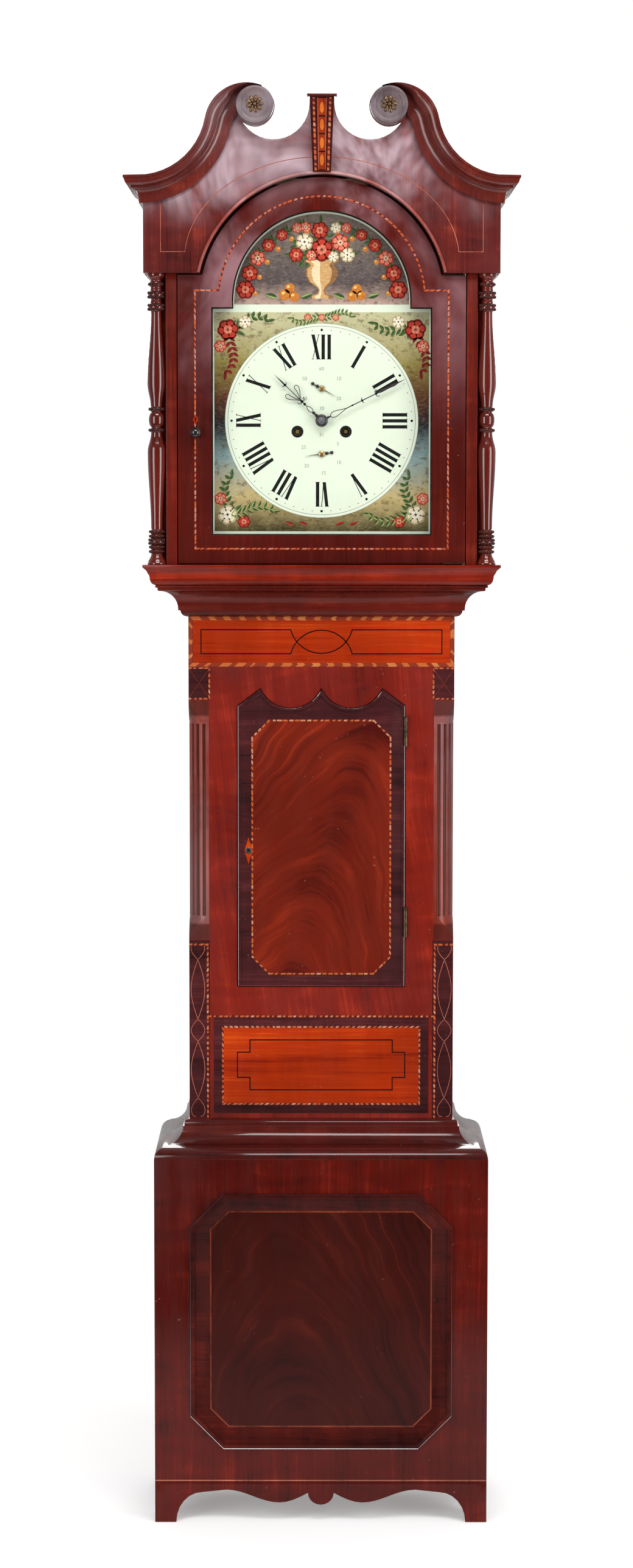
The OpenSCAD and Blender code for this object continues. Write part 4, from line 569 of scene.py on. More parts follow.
gut, glass, enamel = gut_finish(), glass_finish(), dial_finish()


# Pieces

def clear_selection():
    if bpy.context.object and bpy.context.object.mode != "OBJECT":
        bpy.ops.object.mode_set(mode="OBJECT")
    bpy.ops.object.select_all(action="DESELECT")


def dressed(piece, name, body, slot, material, *more):
    """Names a finished piece, gives it its material, and lets it ride on its body; its slot is not used."""
    piece.name = piece.data.name = name
    piece.data.materials.clear()
    for each in (material, *more):
        piece.data.materials.append(each)
    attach(piece, body)
    return piece


def edit(piece):
    """Enters edit mode on one piece, with everything on it selected."""
    clear_selection()
    piece.select_set(True)
    bpy.context.view_layer.objects.active = piece
    bpy.ops.object.mode_set(mode="EDIT")
    bpy.ops.mesh.select_all(action="SELECT")


def sheet_of(outline, front):
    """A flat face with a given outline in x and z (mm), standing at y = front (m)."""
    clear_selection()
    bpy.ops.mesh.primitive_circle_add(vertices=len(outline), fill_type="NGON")
    piece = bpy.context.object
    for vertex, (x, z) in zip(piece.data.vertices, outline):
        vertex.co = (x * MM, front, z * MM)
    return piece


def thicken(piece, back):
    """Gives a flat piece a wall that reaches back (m), with its faces pointing out."""
    edit(piece)
    bpy.ops.mesh.extrude_region_move(TRANSFORM_OT_translate={"value": (0, back, 0)})
    bpy.ops.mesh.select_all(action="SELECT")
    bpy.ops.mesh.normals_make_consistent(inside=False)
    done()
    return piece


def joined(parts):
    """Several pieces as one."""
    clear_selection()
    for part in parts:
        part.select_set(True)
    bpy.context.view_layer.objects.active = parts[0]
    bpy.ops.object.join()
    return bpy.context.object


def body_of(node):
    return solids[node]["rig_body"]


def copy_of(node, name):
    """A solid's mesh as a new piece, in edit mode."""
    piece = bpy.data.objects.new(name, solids[node].data.copy())
    bpy.context.collection.objects.link(piece)
    edit(piece)
    return piece


def done(smooth=None):
    """Leaves edit mode, and smooths the piece where its faces meet at less than an angle in degrees."""
    bpy.ops.object.mode_set(mode="OBJECT")
    if smooth:
        bpy.ops.object.shade_smooth_by_angle(angle=math.radians(smooth))


def veneer(name, outline, front, body, slot, material, proud=VENEER, depth=0.5):
    """A sheet of veneer let into a front, standing a hair proud of it."""
    piece = thicken(sheet_of(outline, front - proud * MM), depth * MM)
    return dressed(piece, name, body, slot, material)


def mitres(points, closed):
    """At each point of a line, the step to its left that keeps both edges parallel to the line."""
    steps = []
    last = len(points) - 1
    for i, here in enumerate(points):
        before = points[i - 1] if i or closed else None
        after = points[(i + 1) % (last + 1)] if i < last or closed else None
        ways = []
        for a, b in ((before, here), (here, after)):
            if a is not None and b is not None:
                run = math.dist(a, b)
                ways.append(((a[1] - b[1]) / run, (b[0] - a[0]) / run))
        x, z = sum(w[0] for w in ways), sum(w[1] for w in ways)
        size = math.hypot(x, z)
        x, z = x / size, z / size
        lean = ways[0][0] * x + ways[0][1] * z
        steps.append((x / lean, z / lean))
    return steps


def stringing(name, points, width, front, body, slot, material, closed=False, proud=VENEER, depth=0.5,
              lean=0.0):
    """A strip of stringing along a line of points (mm). Its map runs along it in metres. With a lean, its
    left edge stands that much prouder than its right."""
    clear_selection()
    steps = mitres(points, closed)
    if closed:
        points, steps = points + points[:1], steps + steps[:1]
    count = len(points)
    bpy.ops.mesh.primitive_grid_add(x_subdivisions=count - 1, y_subdivisions=1)
    piece = bpy.context.object
    for row, share in ((0, 0.5), (1, -0.5)):
        for i, ((x, z), (dx, dz)) in enumerate(zip(points, steps)):
            piece.data.vertices[row * count + i].co = (
                (x + dx * share * width) * MM, front - (proud + lean * (0.5 + share)) * MM,
                (z + dz * share * width) * MM)
    runs = [0.0]
    for a, b in zip(points, points[1:]):
        runs.append(runs[-1] + math.dist(a, b) * MM)
    layer = piece.data.uv_layers[0]
    layer.name = "run"
    for loop in piece.data.loops:
        row, i = divmod(loop.vertex_index, count)
        layer.data[loop.index].uv = (runs[i], float(row))
    edit(piece)
    bpy.ops.mesh.remove_doubles(threshold=MERGE)
    done()
    thicken(piece, depth * MM)
    return dressed(piece, name, body, slot, material)


def trunk_veneered(name, outline, slot, material, rise=0.0):
    """A sheet of veneer on the trunk's front."""
    return veneer(name, outline, TRUNK_FRONT, "case", slot, material, VENEER + rise)


def trunk_string(name, points, width, material, rise=0.1, closed=False):
    """A string let into the trunk's front, a little prouder than the veneer."""
    return stringing(name, points, width, TRUNK_FRONT, "case", "satinwood", material, closed, VENEER + rise)


def heading(angle):
    """The step of length one that an angle in degrees gives, from x towards z."""
    return math.cos(math.radians(angle)), math.sin(math.radians(angle))


def arc(centre, radius, start, end, count):
    """Points of an arc, angles in degrees from x towards z."""
    steps = [heading(start + (end - start) * i / count) for i in range(count + 1)]
    return [(centre[0] + radius * cos, centre[1] + radius * sin) for cos, sin in steps]


def octagon(half, low, high, cut):
    return [(-half + cut, low), (half - cut, low), (half, low + cut), (half, high - cut), (half - cut, high),
            (-half + cut, high), (-half, high - cut), (-half, low + cut)]


def rectangle(x0, x1, z0, z1):
    return [(x0, z0), (x1, z0), (x1, z1), (x0, z1)]


def diamond(x, z, half_width, half_height):
    return [(x, z - half_height), (x + half_width, z), (x, z + half_height), (x - half_width, z)]


def half_round(name, points, radius, front, body, slot, material):
    """A bead of half-round section planted along a line of points (mm), open at its ends."""
    clear_selection()
    curve = bpy.data.curves.new(name, "CURVE")
    curve.dimensions = "3D"
    curve.bevel_depth, curve.bevel_resolution = radius * MM, 4
    spline = curve.splines.new("POLY")
    spline.points.add(len(points) - 1)
    for point, (x, z) in zip(spline.points, points):
        point.co = (x * MM, front, z * MM, 1)
    piece = bpy.data.objects.new(name, curve)
    bpy.context.collection.objects.link(piece)
    piece.select_set(True)
    bpy.context.view_layer.objects.active = piece
    bpy.ops.object.convert(target="MESH")
    piece = bpy.context.object
    bpy.ops.object.shade_smooth_by_angle(angle=math.radians(50))
    return dressed(piece, name, body, slot, material)


SHARP = 32  # edges bent by more than this, in degrees, are eased and stay sharp
FLAT = 0.6  # faces that meet at less than this, in degrees, are one


def refined(node, material, slot, bevel):
    """The solid itself, its edges eased by a bevel (mm) and its curves smooth, standing for the CAD node."""
    piece = copy_of(node, node + "_finished")
    bpy.ops.mesh.customdata_custom_splitnormals_clear()
    bpy.ops.mesh.remove_doubles(threshold=MERGE)
    if bevel:
        bpy.ops.mesh.dissolve_limited(angle_limit=math.radians(FLAT))
    done()
    if bevel:
        ease = piece.modifiers.new("eased edges", "BEVEL")
        ease.width, ease.segments, ease.limit_method = bevel * MM, 2, "ANGLE"
        ease.angle_limit = math.radians(SHARP)
        ease.use_clamp_overlap = True
        bpy.ops.object.modifier_apply(modifier=ease.name)
    bpy.ops.object.shade_smooth_by_angle(angle=math.radians(SHARP))
    dressed(piece, node + "_finished", body_of(node), slot, material)
    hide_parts(node)


# Every solid's finish. Those that are seen close are refined, and the rest keep their mesh
REFINED = {
    "base_sides": (side_mahogany, "mahogany"), "base_front": (base_veneer, "flame_mahogany"),
    "base_panel": (base_band, "dark_mahogany"), "bracket_feet": (base_veneer, "mahogany"),
    "base_moulding": (moulding_wood, "dark_mahogany"), "trunk_sides": (side_mahogany, "mahogany"),
    "trunk_front": (trunk_veneer, "flame_mahogany"), "quarter_columns": (reeded_wood, "dark_mahogany"),
    "throat_moulding": (throat_wood, "dark_mahogany"), "hood_base": (hood_base_wood, "dark_mahogany"),
    "hood_sides": (side_mahogany, "mahogany"), "hood_fascia": (fascia_wood, "mahogany"),
    "swan_necks": (neck_wood, "dark_mahogany"), "pediment_block": (moulding_wood, "satinwood"),
    "hood_columns": (column_wood, "dark_mahogany"), "hood_door_frame": (hood_door_wood, "mahogany"),
    "trunk_door_panel": (crossband, "flame_mahogany"), "hood_door_knob": (ebony, "ebony"),
}
EASED = {"swan_necks": 0, "quarter_columns": 0.4, "hood_columns": 0.4, "hood_door_knob": 0.4}
for node, (material, slot) in REFINED.items():
    refined(node, material, slot, EASED.get(node, 0.7))

SLOT_FINISH = {"mahogany": side_mahogany, "dark_mahogany": moulding_wood, "flame_mahogany": trunk_veneer,
               "satinwood": satinwood, "pine": pine_board, "ebony": ebony, "brass": brass, "steel": steel,
               "blued_steel": blued, "iron": iron, "gut": gut, "dial_paint": enamel, "glass": glass}
OWN_FINISH = {"trunk_hinge_leaves": dark_brass, "trunk_door_hinges": dark_brass,
              "hood_door_pivots": dark_brass, "hood_roof": pine_flat, "seatboard": pine_flat}
slot_of = {part["node"]: part["material_slot"] for part in frame["record"]["subparts"]}
for node, solid in solids.items():
    if node not in REFINED:
        solid.data.materials.clear()
        solid.data.materials.append(OWN_FINISH.get(node, SLOT_FINISH[slot_of[node]]))


# Base: the string over the apron, and the field and string of the octagonal panel

BASE_FIELD = octagon(176, 158, 507, 29)
stringing("apron_string", [(-265, 68.5), (265, 68.5)], 1.6, BASE_FRONT, "case", "mahogany", box_string)
veneer("base_panel_field", BASE_FIELD, BASE_PANEL, "case", "flame_mahogany", base_flame)
stringing("base_panel_string", BASE_FIELD, 2.4, BASE_PANEL, "case", "flame_mahogany",
          rose_string, closed=True, proud=VENEER + 0.1)
stringing("base_panel_bead", octagon(206, 124.5, 532.5, 51.5), 5.0, BASE_PANEL, "case", "dark_mahogany",
          bead_wood, closed=True, proud=3.7, depth=4.0, lean=-3.63)

# Trunk front: the frieze, the corner blocks, the lower blocks and the lower panel

FRIEZE_LOW = 1372.5
trunk_veneered("frieze_panel", rectangle(-204, 204, FRIEZE_LOW + 6, TRUNK_TOP - 1), "satinwood", satinwood)
trunk_string("frieze_border", rectangle(-207.5, 207.5, FRIEZE_LOW + 3, TRUNK_TOP - 3), 6, frieze_string, 0.05,
             True)


def crossing_line(half, corner, crossing, low, high):
    """One unbroken black line: two open rectangles whose ends cross over and make a lens between them."""
    middle = (low + high) / 2
    rise = (high - low) / 2 * 0.97
    radius = (crossing ** 2 + rise ** 2) / (2 * rise)
    reach = math.degrees(math.asin(corner / radius))
    over = arc((0, middle + rise - radius), radius, 90 + reach, 90 - reach, 24)
    under = [(-x, 2 * middle - z) for x, z in over]
    over[0], over[-1] = (-corner, low), (corner, low)
    under[0], under[-1] = (corner, high), (-corner, high)
    return over + [(half, low), (half, high)] + under + [(-half, high), (-half, low)]


trunk_string("frieze_line", crossing_line(191, 50, 39, 1393, 1431), 1.8, black_string, closed=True)

# The heights at which the two swinging lines of a lower block cross, from the top down
KNOTS = (940, 903.6, 807.4, 771.6, 680, 640)
# How far they swing, about what line, and between what heights they show
SWING, SWING_X, SWING_LOW, SWING_HIGH = 11, 197.2, 650, 926


def swinging_line(side, phase):
    """One of the two lines, to one side of the trunk. It changes sides at each knot."""
    line = []
    for high, low in zip(KNOTS, KNOTS[1:]):
        for i in range(10):
            level = high - (high - low) * (i / 10)
            if level <= SWING_HIGH:
                line.append((side * SWING_X + phase * SWING * math.sin(math.pi * (i / 10)),
                             max(level, SWING_LOW)))
        phase = -phase
    return line


for hand, side in HANDS.items():
    inner, outer = side * 178, side * 210.4
    left, right = sorted((inner, outer))
    trunk_veneered(f"corner_block_{hand}", rectangle(left, right, 1320, 1371), "dark_mahogany", crossband)
    trunk_string(f"corner_string_{hand}", [(outer, 1370), (inner, 1370), (inner, 1321.5), (outer, 1321.5)],
                 2.6, fine_string)
    for way, foot, head in (("rising", 1323, 1369), ("falling", 1369, 1323)):
        trunk_string(f"corner_cross_{hand}_{way}", [(inner, foot), (outer, head)], 0.8, rose_string, 0.05)
    trunk_veneered(f"lower_block_{hand}", rectangle(left, right, 648, 935), "dark_mahogany", crossband)
    trunk_string(f"lower_block_string_{hand}", [(outer, 928), (side * 181.5, 928), (side * 181.5, 648)], 3.0,
                 fine_string)
    for name, phase in (("a", 1), ("b", -1)):
        trunk_string(f"swing_string_{hand}_{name}", swinging_line(side, phase), 0.9, box_string)

LOWER_PANEL = rectangle(-157.5, 157.5, 670, 795)
trunk_veneered("lower_band", rectangle(-172, 172, 655, 810), "dark_mahogany", crossband)
trunk_veneered("lower_panel", LOWER_PANEL, "satinwood", satinwood, 0.05)
trunk_string("lower_panel_string", LOWER_PANEL, 2.8, fine_string, 0.15, True)
trunk_string("lower_band_string", [(-180, 812), (180, 812)], 2.8, fine_string)
notched = [(-114, 693), (114, 693), (114, 713), (134, 713), (134, 754), (114, 754), (114, 774), (-114, 774),
           (-114, 754), (-134, 754), (-134, 713), (-114, 713)]
trunk_string("lower_panel_line", notched, 1.8, black_string, 0.2, True)

# Trunk door: the flame field, its barber-pole border, the bead and the escutcheon

DOOR_LOW, DOOR_SHOULDER, DOOR_HALF = 861, 1310, 133
FLAME_FIELD = octagon(110, 881, 1287, 27)
veneer("door_field", FLAME_FIELD, DOOR_FIELD, "trunk_door", "flame_mahogany", door_flame)
stringing("door_string", FLAME_FIELD, 2.6, DOOR_FIELD, "trunk_door", "satinwood", door_string,
          closed=True, proud=VENEER + 0.1)


def door_outline(inset):
    """The door's shape: straight sides, canted shoulders and two hollows that meet in cusps."""
    drop, crest = 31.0, 48.5
    radius = (crest ** 2 + drop ** 2) / (2 * drop)
    span = math.degrees(math.asin((crest - inset * 0.3) / (radius + inset)))
    top = []
    for centre in (crest, -crest):
        top += arc((centre, DOOR_SHOULDER - 4 + radius), radius + inset, -90 + span, -90 - span, 12)
    half = DOOR_HALF - inset
    return [(-half, DOOR_LOW + inset), (half, DOOR_LOW + inset),
            (half, DOOR_SHOULDER - inset * 0.4)] + top + [(-half, DOOR_SHOULDER - inset * 0.4)]


stringing("door_bead", door_outline(2.4), 3.9, DOOR_FIELD, "trunk_door", "dark_mahogany", bead_wood,
          closed=True, proud=0.5, depth=3.0, lean=1.48)
ESCUTCHEON = (-116, 1079)
veneer("escutcheon", diamond(*ESCUTCHEON, 6.5, 21.5), DOOR_FIELD, "trunk_door", "satinwood", satinwood,
       proud=VENEER + 0.2)

# Hood: the strings of the fascia and of the door

FASCIA_Z0, FASCIA_A, FASCIA_B = 2007, 213, 158
ellipse = [(-FASCIA_A * cos, FASCIA_Z0 + FASCIA_B * sin)
           for cos, sin in [heading(4.5 + 171 * i / 48) for i in range(49)]]
fascia_line = [(-250, 2092), (-250, ellipse[0][1])] + ellipse + [(250, ellipse[0][1]), (250, 2092)]
stringing("fascia_string", fascia_line, 1.0, FASCIA, "hood", "mahogany", box_string)

LINE_ROUND, LINE_RISE, LINE_HALF = 161, 16, 197.5
spring = math.degrees(math.asin(LINE_RISE / LINE_ROUND))
hood_line = [(-LINE_HALF, 1560), (LINE_HALF, 1560), (LINE_HALF, ARCH_Z + LINE_RISE)] + arc(
    (0, ARCH_Z), LINE_ROUND, spring, 180 - spring, 40) + [(-LINE_HALF, ARCH_Z + LINE_RISE)]
stringing("hood_door_string", hood_line, 2.7, HOOD_DOOR, "hood_door", "satinwood", hood_string, closed=True)

# The bead round the arch, its pale colour a painted highlight
half_round("arch_bead", arc((0, ARCH_Z), 196.6, 167.4, 12.6, 64), 2.4, FASCIA, "hood", "mahogany", highlight_edge)

# The boards that close the arch above the roof. They take the dark crossbanding, so that the gap over the
# door shows painted shade
ROOF_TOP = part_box("hood_roof")[1].z / MM
ARCH_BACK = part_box("hood_door_frame")[1].y + 1.2 * MM
FASCIA_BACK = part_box("hood_fascia")[1].y
BOARD_ROUND, COVER_ROUND = 200, 194.2


def above_roof(radius, back_again=False):
    """The stretch of a circle about the arch's middle that stands over the roof."""
    rim = math.degrees(math.asin((ROOF_TOP - ARCH_Z) / radius))
    ends = (180 - rim, rim) if back_again else (rim, 180 - rim)
    return arc((0, ARCH_Z), radius, *ends, 48)


for name, outline, front, depth in (
        ("arch_board", above_roof(BOARD_ROUND), ARCH_BACK, 4 * MM),
        ("arch_cover", above_roof(BOARD_ROUND) + above_roof(COVER_ROUND, True), FASCIA_BACK,
         ARCH_BACK - FASCIA_BACK)):
    dressed(thicken(sheet_of(outline, front), depth), name, "hood", "mahogany", base_band)

# A dark strip round the glass, part glazing compound and part painted shadow, and the keyhole above the knob
glass_low, glass_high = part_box("hood_door_glass")
sight_half, sight_low, sight_round = glass_high.x / MM - 4.5, glass_low.z / MM + 4.5, 139
SHOULDER_Z = ARCH_Z - 11
sight = [(-sight_half, sight_low), (sight_half, sight_low)]
sight += [(sight_half, SHOULDER_Z), (sight_round, SHOULDER_Z)]
sight += arc((0, ARCH_Z), sight_round, 0, 180, 48) + [(-sight_round, SHOULDER_Z), (-sight_half, SHOULDER_Z)]
stringing("glazing_putty_and_shadow", sight, 2.2, glass_low.y, "hood_door", "glass", putty_and_shadow, closed=True, proud=1.6,
          depth=1.5)
knob_low, knob_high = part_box("hood_door_knob")
KNOB_X, KEYHOLE_Z = (knob_low.x + knob_high.x) / 2 / MM, DIAL_Z + 1
veneer("hood_escutcheon", diamond(KNOB_X, KEYHOLE_Z, 4.5, 8), HOOD_DOOR, "hood_door", "satinwood", satinwood,
       proud=VENEER + 0.2)
# The keyhole is a black sheet that paints the shade of its opening
veneer("hood_keyhole", [(KNOB_X - 0.9, KEYHOLE_Z - 3.5), (KNOB_X + 0.9, KEYHOLE_Z - 3.5),
                        (KNOB_X + 0.8, KEYHOLE_Z)] + arc((KNOB_X, KEYHOLE_Z + 1), 1.7, -20, 200, 10)
       + [(KNOB_X - 0.8, KEYHOLE_Z)], HOOD_DOOR, "hood_door", "ebony", ebony, proud=VENEER + 0.35)


# Columns: the rows of carved beads on the rings

BEADS = 14  # round each ring
COLUMN_HALF = 14.8  # from the columns' outer side to their axes, in mm


def column_beads():
    """One bead is modelled, and each row is set out from copies of it."""
    low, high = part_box("hood_columns")
    centre_x, centre_y, tall = high.x - COLUMN_HALF * MM, (low.y + high.y) / 2, FRIEZE_Z - HOOD_Z
    rows = [(10.4, 20.5), (10.4, 27.5), (11.4, 33.4), (11.4, 38.6), (10.4, 44.5), (10.4, 51.5),
            (10.4, 0.464 * tall), (10.4, 0.536 * tall), (11.4, tall - 55), (11.4, tall - 49),
            (11.4, tall - 36), (11.4, tall - 30), (10.4, tall - 16.5)]
    clear_selection()
    bpy.ops.mesh.primitive_uv_sphere_add(segments=8, ring_count=6, radius=2.5 * MM)
    bead = bpy.context.object
    bpy.ops.object.shade_smooth()
    for hand, side in HANDS.items():
        parts = []
        for k, (radius, height) in enumerate(rows):
            for i in range(BEADS):
                angle = 2 * math.pi * (i + 0.5 * (k % 2)) / BEADS
                copy = bead.copy()
                copy.data = bead.data.copy()
                step = Vector((side * centre_x + radius * MM * math.cos(angle),
                               centre_y + radius * MM * math.sin(angle), (HOOD_Z + height) * MM))
                for vertex in copy.data.vertices:
                    vertex.co += step
                bpy.context.collection.objects.link(copy)
                parts.append(copy)
        dressed(joined(parts), f"column_beads_{hand}", "hood", "dark_mahogany", carved_beads)
    bpy.data.objects.remove(bead)


column_beads()

# Dial: rings, numerals, minute dots and the small figures

DIAL_BODY = solids["dial_plate"]["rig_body"]
HOUR_INNER, HOUR_OUTER = 96, 134
ink = paint("dial ink", (0.006, 0.006, 0.006), (0.014, 0.014, 0.013), rough=0.4)
grey_ink = paint("worn dial ink", (0.19, 0.20, 0.18), (0.38, 0.41, 0.35), size=400, rough=0.45)


def paint_sheet(name, outlines, front, material, proud, slot="dial_paint", body=DIAL_BODY, depth=0.05):
    """Flat shapes (mm) laid on a front as one thin coat."""
    piece = joined([sheet_of(outline, front - proud * MM) for outline in outlines])
    return dressed(thicken(piece, depth * MM), name, body, slot, material)


def on_dial(points, hour):
    """Points (along the rim, out from the middle) turned to the place of an hour."""
    angle = math.radians(hour * 30)
    return [(u * math.cos(angle) + r * math.sin(angle), DIAL_Z - u * math.sin(angle) + r * math.cos(angle))
            for u, r in points]


def stroke(foot, head, width):
    return [(foot - width / 2, HOUR_INNER), (foot + width / 2, HOUR_INNER), (head + width / 2, HOUR_OUTER),
            (head - width / 2, HOUR_OUTER)]


def serif(middle, width, level):
    return [(middle - width / 2, level - 0.35), (middle + width / 2, level - 0.35),
            (middle + width / 2, level + 0.35), (middle - width / 2, level + 0.35)]


LETTER_WIDTH = {"I": 9.4, "V": 12.6, "X": 14.0}


def numeral(word, hour):
    """The strokes of one Roman numeral, its feet towards the middle of the dial."""
    at_u, strokes = -sum(LETTER_WIDTH[letter] for letter in word) / 2, []
    for letter in word:
        u = at_u + LETTER_WIDTH[letter] / 2
        at_u += LETTER_WIDTH[letter]
        if letter == "I":
            strokes += [stroke(u, u, 5.2), serif(u, 7.4, HOUR_INNER), serif(u, 7.4, HOUR_OUTER)]
        elif letter == "V":
            strokes += [stroke(u + 0.6, u - 3.6, 5.1), stroke(u + 1.6, u + 4.6, 1.1),
                        serif(u - 3.6, 7.0, HOUR_OUTER), serif(u + 4.6, 4.0, HOUR_OUTER)]
        else:
            strokes += [stroke(u + 4.2, u - 4.2, 5.1), stroke(u - 4.6, u + 4.6, 1.1),
                        serif(u + 4.2, 7.0, HOUR_INNER), serif(u - 4.6, 4.0, HOUR_INNER),
                        serif(u - 4.2, 7.0, HOUR_OUTER), serif(u + 4.6, 4.0, HOUR_OUTER)]
    return [on_dial(each, hour) for each in strokes]


hour_words = ("XII", "I", "II", "III", "IIII", "V", "VI", "VII", "VIII", "IX", "X", "XI")
paint_sheet("hour_numerals", [each for hour, word in enumerate(hour_words) for each in numeral(word, hour)],
            DIAL, ink, 0.06)


def spot(x, z, radius, count=12):
    return arc((x, z), radius, 0, 360 - 360 / count, count - 1)


paint_sheet("minute_dots", [spot(*on_dial([(0, 141.5)], minute / 5)[0], 2.0 if minute % 5 == 0 else 0.75)
                            for minute in range(60)], DIAL, ink, 0.06)
for name, radius, width in (("outer", 151.8, 0.9), ("inner", 147.2, 0.8)):
    stringing(f"dial_ring_{name}", spot(0, DIAL_Z, radius, 160), width, DIAL, DIAL_BODY, "dial_paint",
              grey_ink, closed=True, proud=0.08, depth=0.05)


def figures(name, marks, centre, radius, size):
    """Small figures round a little dial, upright, each given with its angle clockwise from the top."""
    parts = []
    for text, angle in marks:
        clear_selection()
        bpy.ops.object.text_add()
        figure = bpy.context.object
        figure.data.body, figure.data.size, figure.data.extrude = text, size * MM, 0.00003
        figure.data.align_x, figure.data.align_y = "CENTER", "CENTER"
        bpy.ops.object.convert(target="MESH")
        x = centre[0] + radius * math.sin(math.radians(angle))
        z = centre[1] + radius * math.cos(math.radians(angle))
        for vertex in bpy.context.object.data.vertices:
            across, up, out = vertex.co
            vertex.co = (x * MM + across, DIAL - 0.06 * MM - out, z * MM + up)
        parts.append(bpy.context.object)
    return dressed(joined(parts), name, DIAL_BODY, "dial_paint", grey_ink)


figures("seconds_figures", [("60", 0), ("10", 60), ("20", 120), ("30", 180), ("40", 240), ("50", 300)],
        (0, DIAL_Z + 50), 31, 8)
figures("date_figures", [(str(day), day * 360 / 31) for day in (31, 5, 10, 15, 20, 25)], (0, DIAL_Z - 52), 30,
        8)


# Hands: collet and bosses, and the black rings round the winding squares

FINE_MERGE = 0.000002  # as MERGE, for small turned pieces


def turned(name, outline, centre, front, body, slot, material, steps=48):
    """A turned piece on an axis towards the front, its outline given as (radius, height) in mm."""
    clear_selection()
    bpy.ops.mesh.primitive_grid_add(x_subdivisions=steps, y_subdivisions=len(outline) - 1)
    piece = bpy.context.object
    for row, (radius, height) in enumerate(outline):
        for i in range(steps + 1):
            angle = 2 * math.pi * i / steps
            piece.data.vertices[row * (steps + 1) + i].co = (
                (centre[0] + radius * math.cos(angle)) * MM, front - height * MM,
                (centre[1] + radius * math.sin(angle)) * MM)
    edit(piece)
    bpy.ops.mesh.remove_doubles(threshold=FINE_MERGE)
    bpy.ops.mesh.normals_make_consistent(inside=False)
    done(smooth=40)
    return dressed(piece, name, body, slot, material)


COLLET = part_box("minute_hand")[0].y
turned("centre_collet", [(0, 0), (9.6, 0), (9.8, 0.8), (9.0, 1.7), (7.4, 2.2), (6.8, 1.6), (6.6, 1.2),
                         (0, 1.2)], (0, DIAL_Z), COLLET, body_of("centre_wheel"), "blued_steel", blued)
turned("centre_pin", [(0, 1.2), (6.2, 1.2), (6.0, 1.7), (2.4, 2.1), (2.2, 2.8), (0, 3.0)], (0, DIAL_Z),
       COLLET, body_of("centre_wheel"), "steel", steel)
for node, rise in (("seconds_hand", 50), ("date_hand", -52)):
    turned(node + "_boss", [(0, 0), (4.6, 0), (4.9, 0.6), (4.2, 1.3), (2.0, 1.7), (0, 1.8)],
           (0, DIAL_Z + rise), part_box(node)[0].y, body_of(node), "brass", brass)


def ribbon(points, width):
    """The outline of a line of points drawn out to a width."""
    steps = mitres(points, False)
    return [(x + dx * width / 2, z + dz * width / 2) for (x, z), (dx, dz) in zip(points, steps)] + [
        (x - dx * width / 2, z - dz * width / 2) for (x, z), (dx, dz) in reversed(list(zip(points, steps)))]


HAND_THICK = 1.0


def pierced_hand(node, angle, shapes):
    """A hand sawn and filed from sheet, drawn pointing up and turned clockwise from twelve."""
    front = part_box(node)[0].y
    outlines = [on_dial(shape, angle / 30) for shape in shapes]
    piece = thicken(joined([sheet_of(outline, front) for outline in outlines]), HAND_THICK * MM)
    dressed(piece, node + "_filed", body_of(node), "blued_steel", blued)
    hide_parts(node)


def symmetric(half):
    """An outline from its right half, up from the middle of the dial, and the same mirrored."""
    return half + [(-u, r) for u, r in reversed(half)]


def both_ways(line):
    return [line, [(-u, r) for u, r in line]]


def smooth_line(points, count=5):
    """A rounded line through points."""
    out = []
    for i in range(len(points) - 1):
        a, b, c, d = points[max(i - 1, 0)], points[i], points[i + 1], points[min(i + 2, len(points) - 1)]
        for k in range(count):
            t = k / count
            out.append(tuple(0.5 * (2 * b[j] + (c[j] - a[j]) * t
                                    + (2 * a[j] - 5 * b[j] + 4 * c[j] - d[j]) * t * t
                                    + (3 * b[j] - a[j] - 3 * c[j] + d[j]) * t ** 3) for j in (0, 1)))
    return out + [points[-1]]


MINUTE_LOOP = [(0, 15), (3.0, 18), (4.4, 22.5), (3.7, 28), (2.0, 35), (0, 43)]
MINUTE_BARS = ([(0, 71), (2.2, 70.4), (4.6, 72.2)], [(0, 95), (3.0, 94.2), (5.4, 96.8), (4.6, 98.6)])
MINUTE_TIP = [(0.8, 96), (2.2, 104), (1.7, 118), (2.3, 126), (0.9, 134), (0.15, 146)]
minute_shapes = [spot(0, 0, 6.6, 32), symmetric([(1.7, 6), (1.9, 11), (0.8, 16)]),
                 ribbon([(0, 42), (0, 97)], 1.5), symmetric(MINUTE_TIP),
                 spot(0, 54, 1.5), spot(0, 71, 1.9), spot(0, 95, 2.0)]
for line in (MINUTE_LOOP, *MINUTE_BARS):
    minute_shapes += [ribbon(smooth_line(each), 1.1) for each in both_ways(line)]
HOUR_LOOP = [(0, 19), (2.6, 22), (3.1, 25.5), (1.8, 30), (0, 33)]
HOUR_LYRE = [(0, 44), (3.4, 50), (8.4, 55.5), (12.2, 61), (12.6, 66), (10.0, 68.2), (7.0, 66.0), (6.0, 60.5),
             (3.6, 54), (0.6, 48)]
HOUR_BARS = ([(0, 43), (2.6, 41.6), (5.4, 43.4), (6.2, 46.4)], [(0, 80.5), (2.4, 79.6), (4.6, 82.4)])
HOUR_ROOT = [(2.2, 7), (2.6, 12), (1.2, 15), (2.8, 17.4), (1.0, 20)]
HOUR_TIP = [(1.0, 78), (1.3, 84), (0.7, 94), (0.12, 103)]
hour_shapes = [spot(0, 0, 8, 32), symmetric(HOUR_ROOT), ribbon([(0, 32), (0, 78)], 1.3), spot(0, 37, 2.2),
               spot(0, 43, 2.4), spot(0, 80, 2.1), symmetric(HOUR_TIP)]
for line in (HOUR_LOOP, HOUR_LYRE, *HOUR_BARS):
    hour_shapes += [ribbon(smooth_line(each), 1.1) for each in both_ways(line)]
